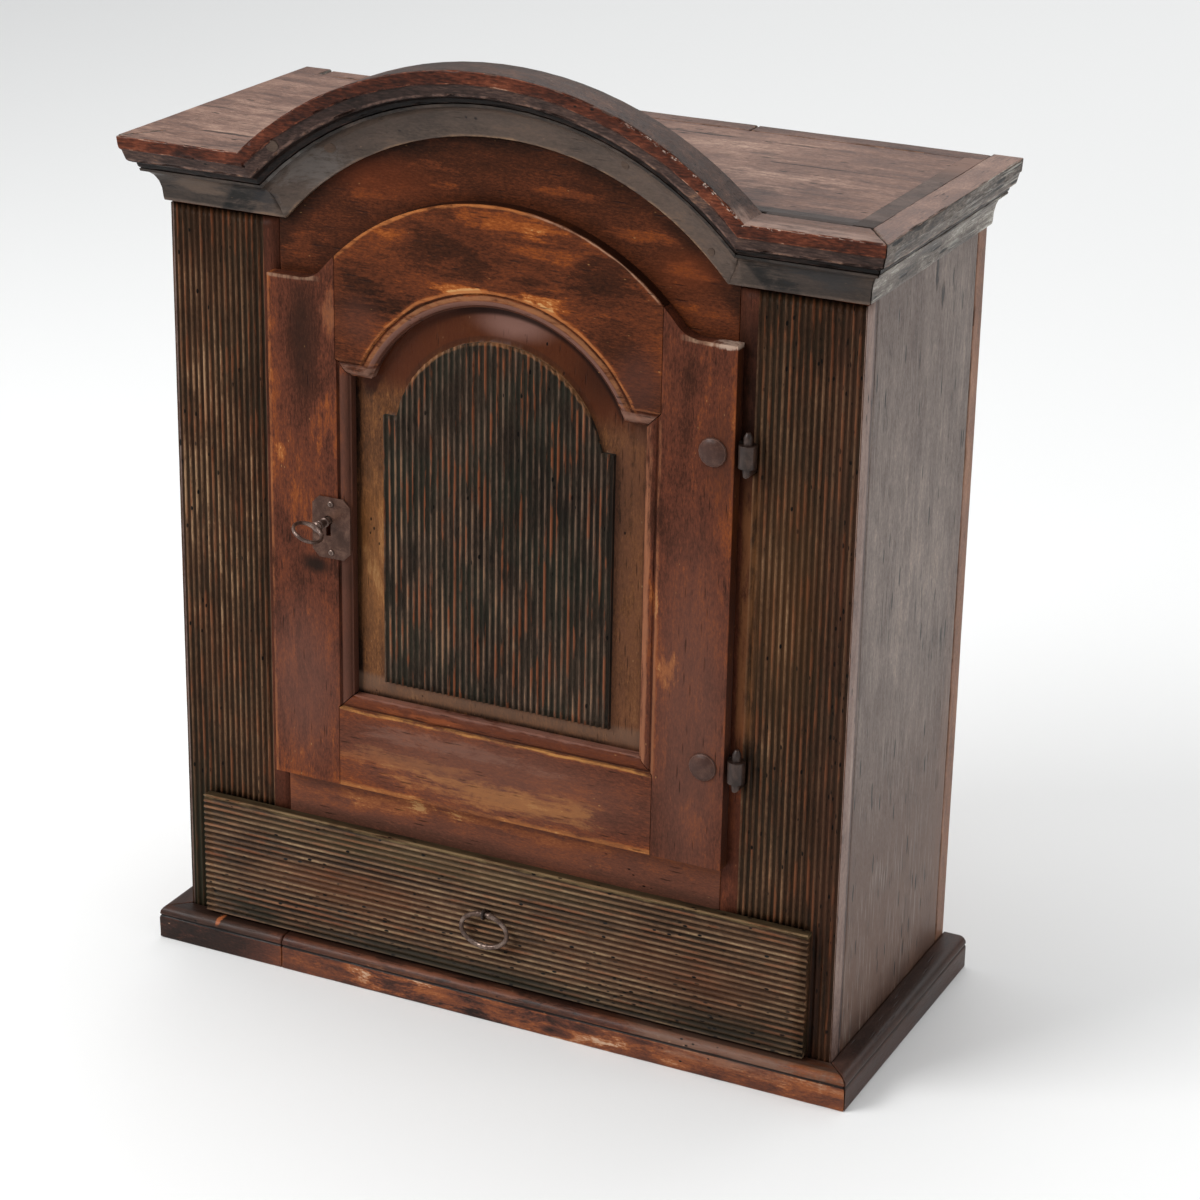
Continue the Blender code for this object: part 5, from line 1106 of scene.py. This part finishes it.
# Drawer: a nailed box of thin boards behind a face with level reeds, which laps over the frame.
# The face is olive-brown, with the tops of the reeds rubbed to tan.
face_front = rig.box("drawer_face")[0][1]
FACE_COATS = ((0.0, (12, 8, 6)), (0.22, (42, 27, 17)), (0.38, (64, 43, 29)), (0.55, (87, 63, 46)),
              (0.72, (108, 82, 61)), (0.86, (124, 98, 74)), (1.0, (150, 124, 94)))
face_places = (
    ("spot", 0.06, -0.17, 0.080, 0.07, 0.025), ("spot", 0.06, 0.02, 0.072, 0.12, 0.022),
    ("spot", -0.30, -0.2385, 0.036, 0.05, 0.020), ("spot", -0.26, -0.06, 0.036, 0.16, 0.014),
    ("spot", -0.22, 0.20, 0.045, 0.07, 0.03), ("band", 0.25, "z", 0.1285, 0.134, 0.0012),
    ("spot", -0.25, -0.0272, 0.0877, 0.008, 0.008), ("spot", -0.25, 0.0202, 0.0576, 0.02, 0.005),
)
face_tints = (
    ("spot", 0.5, (34, 38, 30), -0.235, 0.040, 0.06, 0.024),
    ("haze", 0.75, (32, 33, 25), -0.03, 0.032, 0.28, 0.022),
    ("haze", 0.65, (32, 31, 23), 0.20, 0.034, 0.14, 0.034),
    ("haze", 0.30, (92, 56, 38), 0.16, 0.075, 0.14, 0.04),
    ("haze", 0.38, (100, 58, 36), -0.13, 0.078, 0.15, 0.03),
    ("haze", 0.25, (94, 80, 53), -0.06, 0.118, 0.30, 0.020),
    ("band", 0.6, (136, 114, 80), "z", 0.1292, 0.134, 0.0008),
    # painted shade on the upper face of the drawer face, under the rail
    ("line", 0.8, (40, 31, 21), "z", 0.1308, 0.14, 0.0004, "y", face_front + 0.0024, 0.0, 0.0006),
)
drawer_reeds = worn_reeds(
    "drawer_reeds", "X", FACE_COATS, 0.25, 0.76, 18.8, face_places, face_tints, 0.20, 0.85, green=0.16,
    rust=0.35, lane_share=0.9, pits=1.6, blot=1.1, cloudy=0.8, run=0.05, worms=("z", 0.02, 0.075, 0.02))
face = aged_copy("drawer_face", 0.0, 0.010, 0.0003, 0.0, (("ridge", reed_height(face_front)),))
dress(face, "reeded_paint", [drawer_reeds])
for node in ("drawer_front", "drawer_bottom", "drawer_back"):
    dress(aged_copy(node, 0.0010, 0.04, 0.0002), "raw_wood", [raw_flat])
for node in ("drawer_side_left", "drawer_side_right"):
    dress(aged_copy(node, 0.0010, 0.04, 0.0002), "raw_wood", [raw_deep])

# Ring pull: an oval of forged wire that hangs in its staple, with a pair of swelled collars beside
# the staple and another at the foot, filed bright by use.
ring_low, ring_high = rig.box("drawer_ring")
RING_WIRE = 0.0017


def ring_wire(angle):
    top, foot = math.pi / 2, -math.pi / 2
    extra = 0.0003 * abs(math.sin(angle))
    swellings = (top, 0.25, 0.05, 0.0010), (foot, 0.11, 0.055, 0.0009), (foot, 0.33, 0.04, 0.0004)
    for place, apart, width, size in swellings:
        extra += size * (swell(angle, place - apart, width) + swell(angle, place + apart, width))
    return RING_WIRE + extra


bm = bmesh.new()
oval_wire(bm, (ring_low + ring_high) / 2, Vector((1.0, 0.0, 0.0)), Vector((0.0, 0.0, 1.0)),
          (ring_high.x - ring_low.x) / 2 - RING_WIRE, (ring_high.z - ring_low.z) / 2 - RING_WIRE, ring_wire)
bmesh.ops.recalc_face_normals(bm, faces=bm.faces)
bright_iron = forged("bright_iron", (84, 65, 56), (190, 168, 154), 22.0, 0.6, (0.22, 0.42))
dress(settle("ring_pull", bm, "ring", "drawer_ring"), "iron", [bright_iron])


# Studio: a pale floor that runs out of sight, a broad soft light from the left and above, a weaker one
# on the right that gives the side its sheen, and the camera where the photograph was taken.
bm = bmesh.new()
bmesh.ops.create_grid(bm, x_segments=8, y_segments=8, size=15.0)
floor_mesh = bpy.data.meshes.new("floor")
bm.to_mesh(floor_mesh)
bm.free()
floor = bpy.data.objects.new("floor", floor_mesh)
bpy.context.collection.objects.link(floor)
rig.stage(floor)
floor_paint = bpy.data.materials.new("floor_paint")
floor_paint.use_nodes = True
floor_shader = floor_paint.node_tree.nodes["Principled BSDF"]
floor_shader.inputs["Base Color"].default_value = (0.86, 0.86, 0.853, 1.0)
floor_shader.inputs["Roughness"].default_value = 0.9
floor_mesh.materials.append(floor_paint)

world = bpy.data.worlds.new("studio")
bpy.context.scene.world = world
world.use_nodes = True
sky = world.node_tree.nodes["Background"]
sky.inputs["Color"].default_value = (0.96, 0.98, 1.0, 1.0)
sky.inputs["Strength"].default_value = 0.42


def soft_light(name, place, target, width, height, power):
    lamp = bpy.data.lights.new(name, "AREA")
    lamp.shape = "RECTANGLE"
    lamp.size = width
    lamp.size_y = height
    lamp.energy = power
    lit = bpy.data.objects.new(name, lamp)
    bpy.context.collection.objects.link(lit)
    lit.location = place
    lit.rotation_euler = (Vector(target) - Vector(place)).to_track_quat("-Z", "Y").to_euler()


soft_light("window_left", (-2.1, -2.2, 2.5), (0.0, 0.0, 0.35), 2.0, 1.6, 100.0)
soft_light("panel_right", (2.6, 0.3, 1.3), (0.2, 0.0, 0.4), 1.4, 2.0, 20.0)
soft_light("overhead", (-0.4, 0.2, 3.2), (0.0, 0.0, 0.3), 2.4, 2.0, 38.0)
soft_light("far_floor", (0.0, 4.5, 3.5), (0.0, 4.2, 0.0), 5.0, 3.0, 82.0)

PHOTO_SIDE = 1200
CAMERA_PLACE = (1.04348, -2.12317, 1.23930)
FOCAL_PIXELS = 3259.73
YAW, PITCH, ROLL = (math.radians(a) for a in (25.6334, 21.5768, 1.0862))
ahead = Vector((-math.sin(YAW) * math.cos(PITCH), math.cos(YAW) * math.cos(PITCH), -math.sin(PITCH)))
right = Vector((math.cos(YAW), math.sin(YAW), 0.0))
above = right.cross(ahead)
rolled_right = right * math.cos(ROLL) + above * math.sin(ROLL)
rolled_up = above * math.cos(ROLL) - right * math.sin(ROLL)
lens = bpy.data.cameras.new("camera")
lens.sensor_width = 36.0
lens.lens = FOCAL_PIXELS / PHOTO_SIDE * lens.sensor_width
camera = bpy.data.objects.new("camera", lens)
bpy.context.collection.objects.link(camera)
turn = Matrix((rolled_right, rolled_up, -ahead)).transposed()
camera.matrix_world = Matrix.Translation(CAMERA_PLACE) @ turn.to_4x4()
bpy.context.scene.camera = camera
bpy.context.scene.view_settings.view_transform = "Standard"

with open("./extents.json", "w") as sizes:
    json.dump({"cad": [list(c) for c in cad_box], "visual": [list(c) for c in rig.bounds()]}, sizes)
